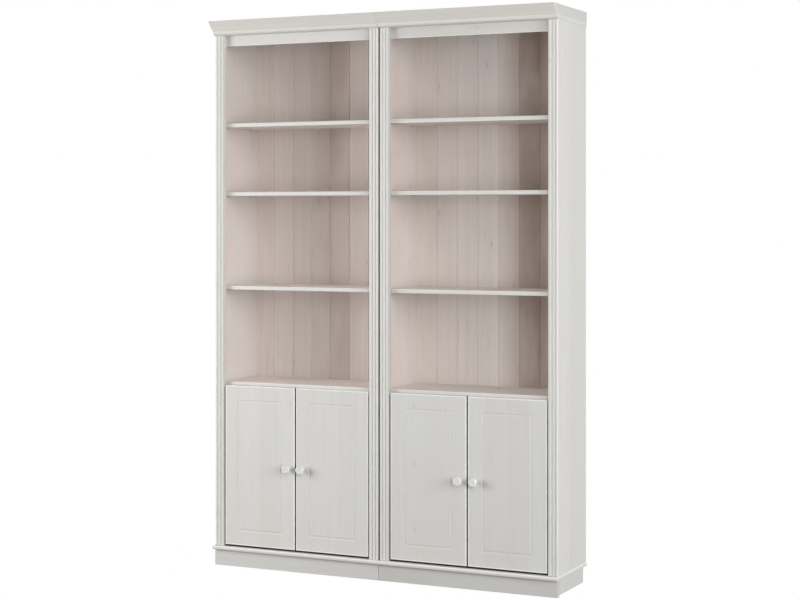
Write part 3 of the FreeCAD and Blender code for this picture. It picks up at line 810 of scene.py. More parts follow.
@dataclass(frozen=True)
class NickelSteel:
    """Nickel-plated pressed steel with fine rolling lines."""

    bright: Colour = (0.70, 0.69, 0.67)
    dull: Colour = (0.50, 0.49, 0.47)
    rolling: Triple = (900.0, 900.0, 60.0)
    stains: float = 90.0
    rough: Span = (0.24, 0.22)
    bump: Span = (0.1, 0.0002)

    def make(self) -> bpy.types.Material:
        """Build the material.

        Returns:
            The material.
        """
        material, net = new_material("nickel_steel")
        place = net.put("TexCoord", "Object")
        lines = net.noise(net.put("Mapping", n0=place, Scale=self.rolling), 1.0, 2.0, 0.5)
        stain = net.noise(place, self.stains, 3.0, 0.5).ramp(0.4, 0.7)
        net.surface(net.blend(stain, self.bright, self.dull), lines * self.rough[1] + self.rough[0], lines,
                    self.bump, Metallic=1.0)
        return material


class Finishes:
    """Every finish of the piece, made at its first use and handed out by name."""

    def __init__(self) -> None:
        """Build the shared groups and set out the finishes."""
        PineGrain().make()
        arris_marks_group()
        outside = GlazedPine("outside_glaze")
        # The inside, cool, lining and shelf glazes are brighter than the outside glaze: painted light inside the
        # case, with a warmer tint partly their own. The shelf glaze, on the tops of the shelves and the deck, is
        # brightest: painted light from above.
        inside = GlazedPine("inside_lit_glaze", glaze=(0.878, 0.806, 0.764), warm=(0.863, 0.773, 0.714),
                            fibre=(0.600, 0.550, 0.510), deep=(0.220, 0.135, 0.090), arris=(0.880, 0.850, 0.820),
                            warm_share=0.8, fibre_share=0.14, ring_share=0.07, knot_share=0.30, fleck_share=0.22,
                            smudge_share=0.14, knots_kept=0.2, height_shade_share=0.08)
        lining = replace(inside, name="lining_lit_glaze", glaze=(0.735, 0.695, 0.672), warm=(0.724, 0.670, 0.640),
                         fibre=(0.600, 0.560, 0.535), stave_share=0.02, height_shade_share=0.11, front_shade_share=0.34)
        self.kinds = {
            "outside": outside,
            "inside": inside,
            "cool": replace(inside, name="cool_lit_glaze", glaze=(0.873, 0.817, 0.784), warm=(0.858, 0.790, 0.745)),
            "lining": lining,
            "shelf": replace(lining, name="shelf_lit_glaze", glaze=(0.940, 0.876, 0.842), warm=(0.925, 0.842, 0.802),
                             fibre=(0.740, 0.684, 0.646), height_shade_share=0.08, front_shade_share=0.0),
            "cheek": replace(outside, name="cheek_glaze", glaze=(0.575, 0.573, 0.556), warm=(0.588, 0.553, 0.521)),
            "edge": replace(outside, name="edge_glaze", glaze=(0.660, 0.650, 0.632), warm=(0.660, 0.628, 0.596),
                            arris=(0.740, 0.730, 0.710)),
            "crown": replace(outside, name="crown_glaze", glaze=(0.655, 0.648, 0.620), warm=(0.675, 0.630, 0.575),
                             warm_share=0.75, fibre_share=0.18, ring_share=0.09),
            "bare": GlazedPine("bare_pine", glaze=(0.62, 0.47, 0.30), warm=(0.56, 0.40, 0.24),
                               fibre=(0.40, 0.26, 0.14), knot=(0.22, 0.12, 0.06), arris=(0.66, 0.52, 0.35),
                               fibre_share=0.4, ring_share=0.35, knot_share=0.8, roughness=0.62),
        }
        self.made = {"knob": KnobLacquer().make(), "steel": NickelSteel().make()}

    def of(self, kind: str, lay: Lay | None = None) -> bpy.types.Material:
        """Material of a finish, for one lay where it is wood.

        Args:
            kind: Name of the finish.
            lay: How the wood lies.

        Returns:
            The material, the same at each call.
        """
        key = f"{kind}_{lay.name}" if lay else kind
        if key not in self.made:
            self.made[key] = self.kinds[kind].make(lay)
        return self.made[key]


# Sub-assemblies


@dataclass
class SubAssembly:
    """Shared ways to place, dress and report the pieces of one unit."""

    unit: str
    finishes: Finishes
    arris: float = 0.9 * MM

    def span(self, part: str) -> tuple[Span, Span, Span]:
        """Where a node lies along X, Y and Z."""
        low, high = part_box(f"{self.unit}_{part}")
        return (low.x, high.x), (low.y, high.y), (low.z, high.z)

    def dress(self, shape: Shape, part: str, kind: str, lay: Lay | None = None, body: str = "cases",
              sharp: float = 38.0) -> bpy.types.Object:
        """Make a piece, give it its finish, and let it stand for its node.

        Args:
            shape: Surfaces of the piece.
            part: Node's name without the unit's.
            kind: Its finish.
            lay: How it lies, where it is wood.
            body: Body that it moves with.
            sharp: Angle of its sharp edges, in degrees.

        Returns:
            The piece.
        """
        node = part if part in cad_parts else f"{self.unit}_{part}"
        thing = shape.make(f"{node}_dressed", sharp)
        thing.data.materials.append(self.finishes.of(kind, lay))
        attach(thing, body)
        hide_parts(node)
        log.info("%s: %d points, %d faces", thing.name, len(thing.data.vertices), len(thing.data.polygons))
        return thing

    def refinish(self, thing: bpy.types.Object, kind: str, lay: Lay,
                 choose: Callable[[Array, Array], Array]) -> None:
        """Give a piece's faces that are chosen, by their normals and middles, another finish.

        Args:
            thing: The piece.
            kind: The other finish.
            lay: How it lies there.
            choose: Gives which faces are chosen.
        """
        faces = thing.data.polygons
        found = []
        for label in ("normal", "center"):
            values = np.empty(len(faces) * 3)
            faces.foreach_get(label, values)
            found.append(values.reshape(-1, 3))
        thing.data.materials.append(self.finishes.of(kind, lay))
        faces.foreach_set("material_index", choose(*found).astype(np.int32))

    def board(self, part: str, radii: Radii, soft: float, kind: str, lay: Lay,
              tone: float | Callable[[Array], Array] = 0.0, x: Span | None = None,
              arris_share: float = 1.0) -> bpy.types.Object:
        """Carry a node's rounded section across the case, or between the given ends, and dress it.

        Args:
            part: Node's name without the unit's.
            radii: Radii of the section's corners.
            soft: Radius of the arris round each end.
            kind: Its finish.
            lay: How it lies.
            tone: How far it is stained.
            x: Its ends, where they aren't the node's.
            arris_share: Share of the arris marks that shows.

        Returns:
            The piece.
        """
        across, y, z = self.span(part)
        shape = Shape()
        shape.carry(rectangle(y, z, radii), x or across, Run.ALONG_X, soft, tone, arris_share=arris_share)
        return self.dress(shape, part, kind, lay)


@dataclass
class Sided(SubAssembly):
    """What is made alike for the left and the right of a unit."""

    side: str = "left"

    @property
    def inward(self) -> float:
        """Sign of the way to the unit's middle."""
        return 1.0 if self.side == "left" else -1.0

    def inside(self, span: Span, distance: Array | float) -> Array | float:
        """X at a distance inwards from the outer end of a span."""
        return (span[0] if self.side == "left" else span[1]) + self.inward * distance


@dataclass
class Plinth(SubAssembly):
    """Front board, side rails and back rail under the case."""

    rail: float = 18.0 * MM
    joint: float = 1.0 * MM
    head: float = 1.2 * MM
    foot: float = 1.6 * MM
    arris_share: float = 0.4
    stain: float = 0.0

    def build(self) -> None:
        """Carry each board's section along its length; the fronts of both units all but meet."""
        x = self.span("plinth_front")[0]
        self.board("plinth_front", (self.foot, self.arris, self.arris, self.head), self.head, "outside", Lay.RAIL,
                   self.stain, (x[0], -self.joint) if x[0] < 0 else (self.joint, x[1]), self.arris_share)
        x, y, z = self.span("plinth_rails")
        rails = Shape()
        even, soft = (self.arris,) * 4, 0.5 * MM
        for left in (x[0], x[1] - self.rail):
            rails.carry(rectangle((left, left + self.rail), z, even), y, Run.ALONG_Y, soft)
        rails.carry(rectangle((y[1] - self.rail, y[1]), z, even), (x[0] + self.rail, x[1] - self.rail),
                    Run.ALONG_X, soft)
        self.dress(rails, "plinth_rails", "cheek", Lay.CHEEK)


@dataclass
class BaseBoard(SubAssembly):
    """Board under the case with its nosing."""

    upper: float = 6.0 * MM
    lower: float = 4.0 * MM
    steps: int = 7
    flat: float = 1.8 * MM
    corner: float = 1.8 * MM
    back_corner: float = 0.5 * MM
    jamb: float = 45.0 * MM
    gap_shade: float = 1.2
    gap_shade_front: float = 2.5 * MM
    gap_shade_back: Span = (8.0 * MM, 20.0 * MM)
    arris_share: Span = (0.2, 0.5)

    def build(self) -> None:
        """Lay rings of the plan up the nosing, then inwards to the painted shade that lies under the doors.

        A ring at angle a of a nosing of radius r is drawn in by r times one minus the sine of a,
        and lies r times one minus the cosine of a from the face. The back edge stays square.
        """
        x, y, z = self.span("base_board")
        angle = np.linspace(0.0, math.pi / 2, self.steps)
        low = np.column_stack([self.lower * (1 - np.sin(angle)), z[0] + self.lower * (1 - np.cos(angle))])
        high = np.column_stack([self.upper * (1 - np.sin(angle)), z[1] - self.upper * (1 - np.cos(angle))])
        rings = np.vstack([[self.lower + self.flat, z[0]], low, high[::-1], [self.upper + self.flat, z[1]]])
        swell = np.sin(2 * angle)
        arris_share = np.concatenate([[0.0], swell * self.arris_share[0], swell[::-1] * self.arris_share[1], [0.0]])
        plans = [(inset, inset, height, mark, 0.0) for (inset, height), mark in zip(rings, arris_share)]
        front, back = self.span("left_door")[1]
        # Under the doors the board gets a strip of painted shade, for the dark gap below them
        plans += [(self.jamb, depth - y[0], z[1], 0.0, stain) for depth, stain in (
            (front, 0.0), (front + self.gap_shade_front, self.gap_shade), (back + self.gap_shade_back[0], self.gap_shade),
            (back + self.gap_shade_back[1], 0.0))]
        sheets = []
        for beside, before, height, _, _ in plans:
            plan = rectangle((x[0] + beside, x[1] - beside), (y[0] + before, y[1]),
                             (self.corner, self.corner, self.back_corner, self.back_corner))
            sheets.append(np.insert(plan.points, 2, height, axis=1))
        marks = np.array(plans)
        shape = Shape()
        shape.close(shape.add(np.array(sheets), marks[:, 3:4], marks[:, 4:]))
        self.dress(shape, "base_board", "outside", Lay.SHELF)


@dataclass
class SidePanel(Sided):
    """One side of the case, drilled with two columns of blind holes on its inner face."""

    thickness: float = 21.0 * MM
    rebate: float = 5.5 * MM
    rebate_depth: float = 13.0 * MM
    hole: float = 5.1 * MM
    depth: float = 11.0 * MM
    sink: float = 0.25 * MM
    point: Span = (0.8, 0.45)
    columns: Span = (34.0 * MM, 66.0 * MM)
    pitch: float = 32.0 * MM
    pin_drop: float = 2.55 * MM
    deck_rise: float = 22.2 * MM
    chamfer: float = 1.0 * MM
    segments: int = 16
    stain: float = 0.0

    def levels(self) -> list[float]:
        """Heights of the drilled rows, set by the shelf that hangs in each group.

        Returns:
            The heights, group by group.
        """
        groups = (("shelf_top", range(5)), ("shelf_middle", range(-2, 3)), ("shelf_low", range(-2, 3)),
                  ("deck", range(2)), ("cupboard_shelf", range(1)))
        heights = []
        for part, rows in groups:
            low, high = self.span(part)[2]
            first = high + self.deck_rise if part == "deck" else low - self.pin_drop
            heights += [first + row * self.pitch for row in rows]
        return heights

    def places(self) -> Span:
        """Y of the front and back columns of holes."""
        y = self.span(f"side_{self.side}")[1]
        return y[0] + self.columns[0], y[1] - self.columns[1]

    def build(self) -> None:
        """Carry the outer faces, then fill the inner face round its holes."""
        x, y, z = self.span(f"side_{self.side}")
        inner = self.thickness
        wall = inner - self.rebate
        stop = y[1] - self.rebate_depth
        plan = np.array([(inner, stop), (wall, stop), (wall, y[1]), (self.chamfer, y[1]), (0.0, y[1] - self.chamfer),
                         (0.0, y[0]), (inner, y[0])])
        plan[:, 0] = self.inside(x, plan[:, 0])
        shape = Shape()
        numbers = shape.add(np.stack([np.insert(plan, 2, height, axis=1) for height in z]), 0.0, self.stain)
        shape.weave(numbers)
        shape.faces += numbers.tolist()
        corners = np.array([numbers[0, -1], numbers[0, 0], numbers[1, 0], numbers[1, -1]])
        sinks = np.array([self.sink, self.point[0] * self.depth, self.depth])
        arris_mark, tone = np.array([[0.0, self.stain], [-1.0, 1.0], [-1.0, 1.0], [-1.0, 1.0]]).T[..., None]
        holes = []
        for column in self.places():
            for level in self.levels():
                ring = circle(column, level, self.hole / 2, self.segments)
                rings = np.stack([np.insert(ring, 0, inner, axis=1)] * 4)
                middle = np.array([column, level])
                rings[0, :, 1:] += self.sink * 2 / self.hole * (ring - middle)
                rings[1:, :, 0] -= sinks[:, None]
                rings[3, :, 1:] += self.point[1] * (middle - ring)
                rings[..., 0] = self.inside(x, rings[..., 0])
                holes.append(shape.bore(rings, arris_mark, tone))
        shape.fill([corners] + holes, drop=0)
        thing = self.dress(shape, f"side_{self.side}", "outside", Lay.SIDE)
        self.refinish(thing, "lining", Lay.SIDE, lambda normals, _: normals[:, 0] * self.inward > 0.5)


@dataclass
class Stile(Sided):
    """Upright on the front edge of a side panel, with three ridges and two flutes."""

    ridges: Triple = (10.5 * MM, 14.5 * MM, 15.0 * MM)
    flute: float = 3.4 * MM
    # Arris marks across each ridge: glaze in the flutes, and handling wear with a painted highlight on the crest
    marks: tuple[float, ...] = (-1.0, -0.9, -0.3, 0.0, 0.1, 0.2, 0.3, 0.3, 0.2, 0.1, 0.0, -0.5)
    rims: Span = (0.5 * MM, 2.5 * MM)
    soft: float = 0.3 * MM
    sharp: float = 50.0
    shaded: Span = (2.0 * MM, 5.5 * MM)
    gap_shade: float = 0.8
    flank_shade: float = 0.0
    stain: float = 0.0
    arris_share: float = 0.8

    def build(self) -> None:
        """Carry the fluted section up the case; each ridge is an arc as high as the flute is deep.

        The face that a door's edge closes against gets painted shade from just behind the door's front, and
        the last ridge's inner flank gets painted shade too.
        """
        x, y, z = self.span(f"stile_{self.side}")
        points, start = [], 0.0
        for width in self.ridges:
            points.append(arc_through((start, self.flute), (start + width / 2, 0.0), (start + width, self.flute),
                                      len(self.marks)))
            start += width
        deep = y[1] - y[0]
        shut = self.span(f"{self.side}_door")[1][0] - y[0]
        rims = (shut + self.rims[0], shut + self.rims[1])
        points.append(np.array([(start, self.flute), (start, rims[0]), (start, rims[1]), (start, deep), (0.0, deep)]))
        section = np.concatenate(points)
        marks = np.append(self.marks * len(self.ridges), np.zeros(5))
        inner = self.inside(x, start)
        top = self.span("deck")[2][0]

        def gap_shaded(places: Array) -> Array:
            """Painted shade on the inner face, behind the door's front and below the deck, and stain elsewhere, with
            painted shade on the last ridge's inner flank.

            Args:
                places: Points with X, Y and Z last.

            Returns:
                The mark of each point.
            """
            near = np.abs(places[..., 0] - inner)
            # Painted shade where the door's edge meets the stile, and on the last ridge's inner flank
            gap_shade = (near < TOUCH) & (places[..., 1] > y[0] + rims[0] + TOUCH) & (places[..., 2] < top - MM)
            flank_shade = self.flank_shade * np.interp(near, self.shaded, (1.0, 0.0))
            return np.where(gap_shade, self.gap_shade, self.stain + flank_shade)

        section = np.column_stack([self.inside(x, section[:, 0]), y[0] + section[:, 1]])
        if self.side == "right":
            section, marks = section[::-1], marks[::-1]
        shape = Shape()
        shape.carry(Outline(section, marks), z, Run.ALONG_Z, self.soft, gap_shaded, halts=(top - 2 * MM, top),
                    arris_share=self.arris_share)
        self.dress(shape, f"stile_{self.side}", "outside", Lay.FRONT, sharp=self.sharp)


@dataclass
class Back(SubAssembly):
    """Tongue-and-groove boards, each of its own shade, with a V at each joint."""

    count: int = 8
    bevel: float = 2.0 * MM
    tongue: float = 4.0 * MM
    tongue_thickness: float = 3.0 * MM
    clearance: float = 0.2 * MM
    groove_glaze: float = 0.8
    round: float = 0.5 * MM
    end: float = 0.0005 * MM
    extra: float = 0.0
    shades: tuple[Span, ...] = ((0.0, 0.0),) * 8

    def build(self) -> None:
        """Carry each board's section up the case; the first board is wider by an extra."""
        x, y, z = self.span("back_boards")
        width = (x[1] - x[0]) / self.count
        middle = halfway(y)
        half = self.tongue_thickness / 2
        shape = Shape()
        for index, shade in enumerate(self.shades):
            left = x[0] + index * width + (self.extra if index > 0 else 0.0)
            right = x[0] + (index + 1) * width + (self.extra if index < self.count - 1 else 0.0)
            outline = [(left, y[1]), (left, y[0])]
            if index > 0:
                depth = left + self.tongue + self.clearance
                slack = half + self.clearance
                outline = [(left, y[1]), (left, middle + slack), (depth, middle + slack), (depth, middle - slack),
                           (left, middle - slack), (left, y[0] + self.bevel), (left + self.bevel, y[0])]
            if index < self.count - 1:
                tip = right + self.tongue
                outline += [(right - self.bevel, y[0]), (right, y[0] + self.bevel), (right, middle - half),
                            (tip, middle - half), (tip, middle + half), (right, middle + half), (right, y[1])]
            else:
                outline += [(right, y[0]), (right, y[1])]
            corners = np.array(outline)
            radii = np.where(np.isclose(corners[:, 1], y[0]), self.round, 0.0)
            section = softened(corners, radii, 3)
            section.arris_mark[np.isclose(section.points[:, 1], y[0] + self.bevel)] = -self.groove_glaze
            shape.carry(section, z, Run.ALONG_Z, self.end, fading((left, right), shade, middle))
        self.dress(shape, "back_boards", "inside" if x[0] < 0 else "cool", Lay.FRONT)


@dataclass
class Boards(SubAssembly):
    """Level boards between the sides: deck, valance, and loose shelves on their pins."""

    shelf_round: float = 4.0 * MM
    deck_round: float = 3.0 * MM
    valance_round: float = 2.0 * MM
    valance_head: float = 0.5 * MM
    soft: Span = (0.5 * MM, 0.2 * MM)
    lean: float = 0.35
    stain: float = 0.0
    shelf_stain: Span = (0.0, 0.0)

    def build(self) -> None:
        """Carry each section across the case; the front edges have their own finish."""
        for part in SHELVES + ("deck",):
            radius = self.deck_round if part == "deck" else self.shelf_round
            edge = self.span(part)[1][0] + radius
            thing = self.board(part, (radius, self.arris, self.arris, radius), self.soft[0], "shelf", Lay.SHELF,
                               lambda places: np.where(places[..., 1] > edge, *self.shelf_stain))
            self.refinish(thing, "edge", Lay.RAIL, lambda normals, _: normals[:, 1] < -self.lean)
        self.board("valance", (self.valance_round, self.arris, self.arris, self.valance_head), self.soft[1],
                   "outside", Lay.RAIL, self.stain)


@dataclass
class Crown(SubAssembly):
    """Beaded top board, slanted crown front and its two cheeks."""

    foot: float = 1.0 * MM
    lip: float = 2.0 * MM
    bead_reach: float = 0.8
    bead_rise: float = 0.4
    foot_reach: float = 15.0 * MM
    thickness: float = 16.0 * MM
    corner: float = 1.5 * MM
    crease: float = 0.8 * MM
    crease_at: int = 7
    crease_shade: float = 0.7
    bead_steps: int = 12
    rounds: Span = (0.5 * MM, 0.7 * MM)
    soft: Span = (0.6 * MM, 0.7 * MM)
    arris_share: float = 0.5
    stain: float = 0.0

    def build(self) -> None:
        """Carry the beaded section across the case, then add the frame over it."""
        front = self.span("stile_left")[1][0]
        x, y, z = self.span("top_board")
        reach = front - y[0]
        upper = (y[0], z[1] - self.lip)
        start = (front - self.foot, z[0])
        bulge = (front - self.foot - (reach - self.foot) * self.bead_reach,
                 z[0] + (upper[1] - z[0]) * self.bead_rise)
        bead = arc_through(start, bulge, upper, self.bead_steps)[::-1]
        bead[self.crease_at, 0] += self.crease
        corners = np.vstack([[upper], bead, [(y[1], z[0]), (y[1], z[1]), (y[0], z[1])]])
        radii = np.zeros(len(corners))
        radii[[0, -1]] = self.rounds
        section = softened(corners, radii)
        # The crease point gets a hollow mark: painted shade along the bead's crease
        section.arris_mark[np.linalg.norm(section.points - bead[self.crease_at], axis=1) < TOUCH] = -self.crease_shade
        shape = Shape()
        shape.carry(section, x, Run.ALONG_X, self.soft[0])
        self.dress(shape, "top_board", "outside", Lay.SHELF)
        self.surround(front)

    def surround(self, front: float) -> None:
        """Leaning front with its two cheeks, as one frame open at the back.

        The plan is a U whose front lies at the foot's reach below and at the head's above.

        Args:
            front: Y of the stiles' front.
        """
        x, y, z = self.span("crown_front")
        end = self.span("crown_cheeks")[1][1]
        rise = z[1] - z[0]
        foot = front - self.foot_reach
        depth = self.thickness * math.hypot(rise, foot - y[0]) / rise
        inner = (x[0] + self.thickness, x[1] - self.thickness)
        plans = []
        for face in (foot, y[0]):
            corners = [(x[0], face), (x[1], face), (x[1], end), (inner[1], end), (inner[1], face + depth),
                       (inner[0], face + depth), (inner[0], end), (x[0], end)]
            plan = softened(np.array(corners), np.full(len(corners), self.corner))
            plan.arris_mark[np.abs(plan.points[:, 0]) < self.corner] *= -1
            plans.append(plan)
        shape = Shape()
        shape.carry(plans[0], z, Run.ALONG_Z, self.soft[1], self.stain, far=plans[1], arris_share=self.arris_share)
        thing = self.dress(shape, "crown_front", "crown", Lay.RAIL)
        middle = halfway(x)
        self.refinish(thing, "cheek", Lay.CHEEK, lambda _, centres: (centres[:, 1] > foot) & (
            np.abs(centres[:, 0] - middle) > inner[1] - middle - MM))
        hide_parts(f"{self.unit}_crown_cheeks")


@dataclass(frozen=True)
class Screw:
    """Domed screw with crossed slots: radius of its shank, length under its head, and radius of its head.

    The dome's rows are shares of the head's radius, and the slots cut two of the rows.
    """

    shank: float
    length: float
    head: float
    dome: tuple[Span, ...] = ((1.0, 0.0), (1.0, 0.1), (0.83, 0.28), (0.6, 0.4), (0.38, 0.43), (0.32, 0.15),
                              (0.03, 0.15))
    slots: tuple[float, ...] = (0.0,) * 8 + (0.33, 0.33, 0.0)
    segments: int = 24

    def drive(self, shape: Shape, place: Triple) -> None:
        """Add the screw to a shape, in from the back of a door."""
        tip = [(0.1 * self.shank, -self.length), (0.6 * self.shank, -self.length),
               (self.shank, 0.8 * self.shank - self.length), (self.shank, 0.0)]
        shape.turn(np.vstack([tip, self.head * np.array(self.dome)]), place, (0.0, 1.0, 0.0), self.segments,
                   petals=self.slots)


@dataclass
class DoorLeaf(Sided):
    """Door with its cove, turned knob, screws and hinge cups."""

    round: float = 1.8 * MM
    cove_inset: float = 62.5 * MM
    cove_width: float = 10.0 * MM
    cove_depth: float = 1.35 * MM
    cup_edge: float = 22.0 * MM
    cup_radius: float = 17.5 * MM
    cup_depth: float = 11.5 * MM
    hinge_end: float = 90.0 * MM
    stain: float = 0.0
    gap_shade: float = 0.5
    meeting_gap_shade: float = 1.1
    arris_band: float = 4.5 * MM
    fade: float = 1.5 * MM
    arris_share: float = 0.4
    cove_glaze: float = 0.25
    cove_dark: float = 0.6
    edge_bands: Span = (1.2 * MM, 1.5 * MM)
    ear_offset: float = 9.5 * MM
    ear_spread: float = 22.5 * MM
    ear_rise: float = 1.0 * MM
    cup_segments: int = 48
    cup_screw: Screw = Screw(1.75 * MM, 14.0 * MM, 3.5 * MM)
    knob_screw: Screw = Screw(2.0 * MM, 29.9 * MM, 4.5 * MM)
    knob_segments: int = 56
    neck: Span = (0.5, 0.6)
    neck_glaze: float = 0.8
    knob_radii: tuple[float, ...] = (0.52, 0.4, 0.37, 0.47, 0.82, 0.97, 1.0, 0.94, 0.75, 0.1)
    knob_reaches: tuple[float, ...] = (0.0, 0.12, 0.3, 0.49, 0.62, 0.71, 0.82, 0.93, 1.0, 0.975)

    @property
    def body(self) -> str:
        """Body that the leaf moves as."""
        return f"{self.unit}_{self.side}_leaf"

    def lines(self, span: Span) -> Array:
        """Places of the grid lines along one side, close together at the arrises and the cove.

        Args:
            span: Ends of the side.

        Returns:
            The places, in order.
        """
        edge = self.round * (1 - np.cos(np.linspace(0.0, math.pi / 2, 6)))
        half = self.cove_width / 2
        cove = self.cove_inset + np.concatenate([[-half - GUARD], np.linspace(-half, half, 11), [half + GUARD]])
        near = np.concatenate([edge, [self.round + GUARD, self.arris_band, self.arris_band + self.fade], cove])
        return np.concatenate([span[0] + near, (span[1] - near)[::-1]])

    def build(self) -> None:
        """Make the door, then its knob, its hinge cups and all their screws."""
        self.door()
        self.knob()
        self.cups()
        self.screws()

    def door(self) -> None:
        """Front of the door as a height over its face, then its edges darkened with painted shade, and its bored
        back.

        The height at a point is the arris round, radius minus the root of its square less the
        square of the distance that is left, plus the cove, a circular arc across its width round
        a rectangle that lies one inset inside the door.
        """
        part = f"{self.side}_door"
        x, y, z = self.span(part)
        grid_x, grid_z = np.meshgrid(self.lines(x), self.lines(z))
        edge = np.minimum(np.minimum(grid_x - x[0], x[1] - grid_x), np.minimum(grid_z - z[0], z[1] - grid_z))
        short = np.clip(self.round - edge, 0.0, self.round)
        rounding = self.round - np.sqrt(np.clip(self.round ** 2 - short ** 2, 0.0, None))
        middle = (halfway(x), halfway(z))
        beyond = np.maximum(np.abs(grid_x - middle[0]) - ((x[1] - x[0]) / 2 - self.cove_inset),
                            np.abs(grid_z - middle[1]) - ((z[1] - z[0]) / 2 - self.cove_inset))
        half = self.cove_width / 2
        radius = (half ** 2 + self.cove_depth ** 2) / (2 * self.cove_depth)
        off = np.minimum(np.abs(beyond), half)
        cove = np.sqrt(radius ** 2 - off ** 2) - (radius - self.cove_depth)
        front = np.stack([grid_x, y[0] + rounding + cove, grid_z], axis=-1)
        # A band along each edge takes the arris mark: handling wear with a painted highlight
        arris_mark = self.arris_share * np.clip((self.arris_band + self.fade - edge) / self.fade, 0.0, 1.0)
        arris_mark = np.where(off < half * self.cove_dark, -self.cove_glaze * (1 - off / half), arris_mark)
        shape = Shape()
        numbers = shape.add(front, arris_mark, self.stain)
        shape.weave(numbers)
        loops, points = [around(numbers)], around(front)
        meeting = np.abs(points[:, 0] - self.inside(x, x[1] - x[0])) < TOUCH
        # The door's edges behind its front get painted shade for the dark gaps, darkest on the meeting edge
        gap_shade = np.where(meeting, self.meeting_gap_shade, self.gap_shade)
        for place, mark in ((y[0] + self.round + self.edge_bands[0], gap_shade), (y[1] - self.edge_bands[1], gap_shade),
                            (y[1], 0.0)):
            points[:, 1] = place
            loops.append(shape.add(points.copy(), 0.0, mark))
        shape.weave(np.stack(loops), closed=True)
        shape.fill([loops[-1]] + self.bores(shape, y[1]), drop=1)
        self.dress(shape, part, "outside", Lay.FRONT, body=self.body)

    def bores(self, shape: Shape, back: float) -> list[Array]:
        """Bores for the two hinge cups, and the numbers of their mouths.

        Args:
            shape: Surfaces of the door.
            back: Y of the door's back.

        Returns:
            The numbers of each mouth.
        """
        middle, levels = self.hinges()
        mouths = []
        for level in levels:
            ring = circle(middle, level, self.cup_radius, self.cup_segments)
            rings = [np.insert(ring, 1, depth, axis=1) for depth in (back, back - self.cup_depth)]
            mouths.append(shape.bore(np.stack(rings)))
        return mouths

    def hinges(self) -> tuple[float, Span]:
        """X of the hinge cups and their heights."""
        x, _, z = self.span(f"{self.side}_door")
        return self.inside(x, self.cup_edge), (z[0] + self.hinge_end, z[1] - self.hinge_end)

    def cups(self) -> None:
        """Pressed cups, turned with their flanges, and two rounded ears on each.

        An ear's inner edge is the circle of the flange's middle, and its outer corners are round.
        """
        middle, levels = self.hinges()
        back = self.span(f"{self.side}_door")[1][1]
        radius, depth = self.cup_radius / MM - 0.1, self.cup_depth / MM - 0.1
        line = MM * np.array([(0.3, -depth), (radius - 1.0, -depth), (radius, 1.0 - depth), (radius, 0.0),
                              (19.0, 0.0), (19.0, 0.6), (18.6, 1.0), (radius - 0.5, 1.0), (radius - 1.0, 0.6),
                              (radius - 1.0, 2.2 - depth), (radius - 2.2, 1.0 - depth), (0.3, 1.0 - depth)])
        across = np.linspace(17.0, 2.0, 9)
        arc = np.column_stack([across, np.sqrt(18.2 ** 2 - across ** 2)])
        plan = MM * np.vstack([[(17.0, 30.0)], arc, [(2.0, 30.0)]])
        radii = np.zeros(len(plan))
        radii[[0, -1]] = 5.0 * MM
        shape = Shape()
        for level in levels:
            shape.turn(line, (middle, back, level), (0.0, 1.0, 0.0), self.cup_segments)
            for up in (-1.0, 1.0):
                ear = plan * (self.inward, up) + (middle, level)
                shape.carry(softened(ear, radii), (back, back + self.ear_rise), Run.ALONG_Y, 0.25 * MM)
        self.dress(shape, f"{self.side}_hinge_cups", "steel", body=self.body)

    def screws(self) -> None:
        """Four screws for the cups and one for the knob."""
        middle, levels = self.hinges()
        middle += self.inward * self.ear_offset
        back = self.span(f"{self.side}_door")[1][1]
        shape = Shape()
        for level in levels:
            for up in (-self.ear_spread, self.ear_spread):
                self.cup_screw.drive(shape, (middle, back + self.ear_rise, level + up))
        x, _, z = self.span(f"{self.side}_knob")
        self.knob_screw.drive(shape, (halfway(x), back, halfway(z)))
        self.dress(shape, f"{self.side}_door_screws", "steel", body=self.body)

    def knob(self) -> None:
        """Turn the knob's outline, drawn smoothly through the shares of its radius and reach."""
        part = f"{self.side}_knob"
        x, y, z = self.span(part)
        radius, reach = (x[1] - x[0]) / 2, y[1] - y[0]
        knots = np.column_stack([np.array(self.knob_radii) * radius, np.array(self.knob_reaches) * reach])
        line = smooth_line(knots, 5)
        line[:, 0] = np.clip(line[:, 0], 0.05 * radius, radius)
        line[:, 1] = np.clip(line[:, 1], 0.0, reach)
        shape = Shape()
        neck = (line[:, 0] < self.neck[0] * radius) & (line[:, 1] < self.neck[1] * reach)
        shape.turn(line, (halfway(x), y[1], halfway(z)), (0.0, -1.0, 0.0), self.knob_segments,
                   -self.neck_glaze * neck)
        self.dress(shape, part, "knob", body=self.body, sharp=60.0)


@dataclass
class ShelfPins(SubAssembly):
    """Round pins with softened ends under every loose shelf of both units."""

    radius: float = 2.5 * MM
    seat: float = 9.0 * MM
    reach: float = 9.0 * MM
    clearance: float = 0.05 * MM
    segments: int = 16

    def build(self) -> None:
        """Turn each pin from its hole in the side panel to under the shelf."""
        length = (self.seat + self.reach) / self.radius
        line = self.radius * np.array([(0.05, 0.0), (0.8, 0.0), (1.0, 0.2), (1.0, length - 0.35), (0.65, length),
                                       (0.05, length)])
        shape = Shape()
        for unit in LOOKS:
            for side in SIDES:
                panel = SidePanel(unit, self.finishes, side=side)
                x = panel.span(f"side_{side}")[0]
                start = panel.inside(x, x[1] - x[0] - self.seat)
                for shelf in SHELVES:
                    level = panel.span(shelf)[2][0] - self.radius - self.clearance
                    for place in panel.places():
                        shape.turn(line, (start, place, level), (panel.inward, 0.0, 0.0), self.segments)
        self.dress(shape, "shelf_pins", "steel")


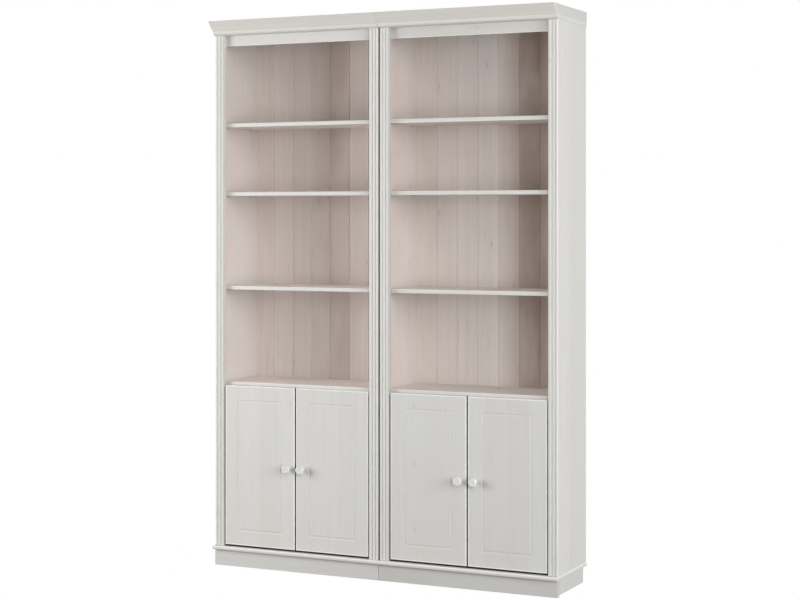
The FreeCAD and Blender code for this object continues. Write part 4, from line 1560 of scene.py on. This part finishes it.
@dataclass
class Fittings:
    """Packing blocks, plates and arms that stay as packed."""

    finishes: Finishes

    def build(self) -> None:
        """Finish the fittings' nodes."""
        for name, kind, lay in (("hinge_plates", "steel", None), ("hinge_arms", "steel", None),
                                ("hinge_blocks", "bare", Lay.FRONT)):
            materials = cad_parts[name].data.materials
            materials.clear()
            materials.append(self.finishes.of(kind, lay))
            log.info("%s: finished as packed", name)


@dataclass(frozen=True)
class Lamp:
    """Square soft light that points at the middle of the pair."""

    place: Triple
    size: float
    power: float
    colour: Colour = (1.0, 1.0, 1.0)
    aim: Triple = (0.0, 0.0, 1.1)

    def build(self, name: str) -> None:
        """Hang the lamp.

        Args:
            name: Name of the lamp.
        """
        data = bpy.data.lights.new(name, "AREA")
        data.shape = "SQUARE"
        data.size, data.energy, data.color = self.size, self.power, self.colour
        way = Vector(self.aim) - Vector(self.place)
        stand(name, data, self.place, way.to_track_quat("-Z", "Y").to_euler())


LAMPS = {
    "right": Lamp((4.0, -4.6, 1.5), 2.6, 129.0, (0.99, 0.995, 1.0)),
    "far_right": Lamp((8.0, -2.4, 2.1), 4.0, 535.0, (0.98, 0.99, 1.0)),
    "left": Lamp((-4.2, -2.6, 1.4), 2.2, 182.0, (1.0, 0.995, 0.985)),
    "above": Lamp((2.0, -3.8, 4.0), 2.4, 30.0),
    "behind": Lamp((-1.8, 4.2, 4.0), 2.6, 140.0),
}


@dataclass
class Studio:
    """Camera at the photograph's viewing angle, pale floor, and soft light from all sides."""

    place: Triple = (3.0575, -6.3418, 1.4320)
    heading: float = 0.445
    sensor: float = 36.0
    lens: float = 79.39
    shift: Span = (-0.0007, -0.1056)
    sight: float = 60.0
    white: tuple[float, ...] = (1.0, 1.0, 1.0, 1.0)
    surround: tuple[float, ...] = (0.98, 0.99, 1.0, 1.0)
    strength: float = 0.15
    paint: tuple[float, ...] = (0.35, 0.35, 0.345, 1.0)
    floor_reach: float = 14.0

    def camera(self) -> None:
        """Level camera, shifted down so that uprights stay upright."""
        data = bpy.data.cameras.new("camera")
        data.sensor_fit = "HORIZONTAL"
        data.sensor_width, data.lens = self.sensor, self.lens
        data.shift_x, data.shift_y = self.shift
        data.clip_end = self.sight
        bpy.context.scene.camera = stand("camera", data, self.place, (math.pi / 2, 0.0, self.heading))

    def world(self) -> None:
        """White surround that gives a little light."""
        world = bpy.data.worlds.new("surround")
        world.use_nodes = True
        net = Net(world.node_tree)
        net.two_faced(net.put("Background", Color=self.surround, Strength=self.strength),
                      net.put("Background", Color=self.white, Strength=1.0), "World")
        bpy.context.scene.world = world

    def floor(self) -> None:
        """Large pale floor that bounces light and looks as white as the surround."""
        mesh = bpy.data.meshes.new("floor")
        corners = [(x * self.floor_reach, y * self.floor_reach, 0.0) for x, y in ((-1, -1), (1, -1), (1, 1), (-1, 1))]
        mesh.from_pydata(corners, [], [(0, 1, 2, 3)])
        material, net = new_material("floor_paint")
        net.two_faced(net.put("BsdfDiffuse", Color=self.paint), net.put("Emission", Color=self.white, Strength=1.0),
                      "Material")
        mesh.materials.append(material)
        stand("floor", mesh)

    def build(self) -> None:
        """Set up the whole studio."""
        self.camera()
        for name, lamp in LAMPS.items():
            lamp.build(name)
        self.world()
        self.floor()
        bpy.context.scene.view_settings.view_transform = "Standard"


def main() -> None:
    """Set up the studio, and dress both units."""
    logging.basicConfig(level=logging.INFO, format="%(message)s")
    Studio().build()
    finishes = Finishes()
    for unit, look in LOOKS.items():
        assemblies = [Plinth(unit, finishes, stain=look.plinth), BaseBoard(unit, finishes),
                      Back(unit, finishes, extra=look.extra, shades=look.boards),
                      Boards(unit, finishes, stain=look.valance, shelf_stain=look.shelves),
                      Crown(unit, finishes, stain=look.crown)]
        for index, side in enumerate(SIDES):
            assemblies += [SidePanel(unit, finishes, side=side, stain=look.linings[index]),
                           Stile(unit, finishes, side=side, flank_shade=look.flank_shades[index], stain=look.stiles[index],
                                 arris_share=look.arris_share[index]),
                           DoorLeaf(unit, finishes, side=side, stain=look.doors[index], gap_shade=look.gap_shade[index])]
        for assembly in assemblies:
            assembly.build()
    ShelfPins("left_unit", finishes).build()
    Fittings(finishes).build()


if __name__ == "__main__":
    main()
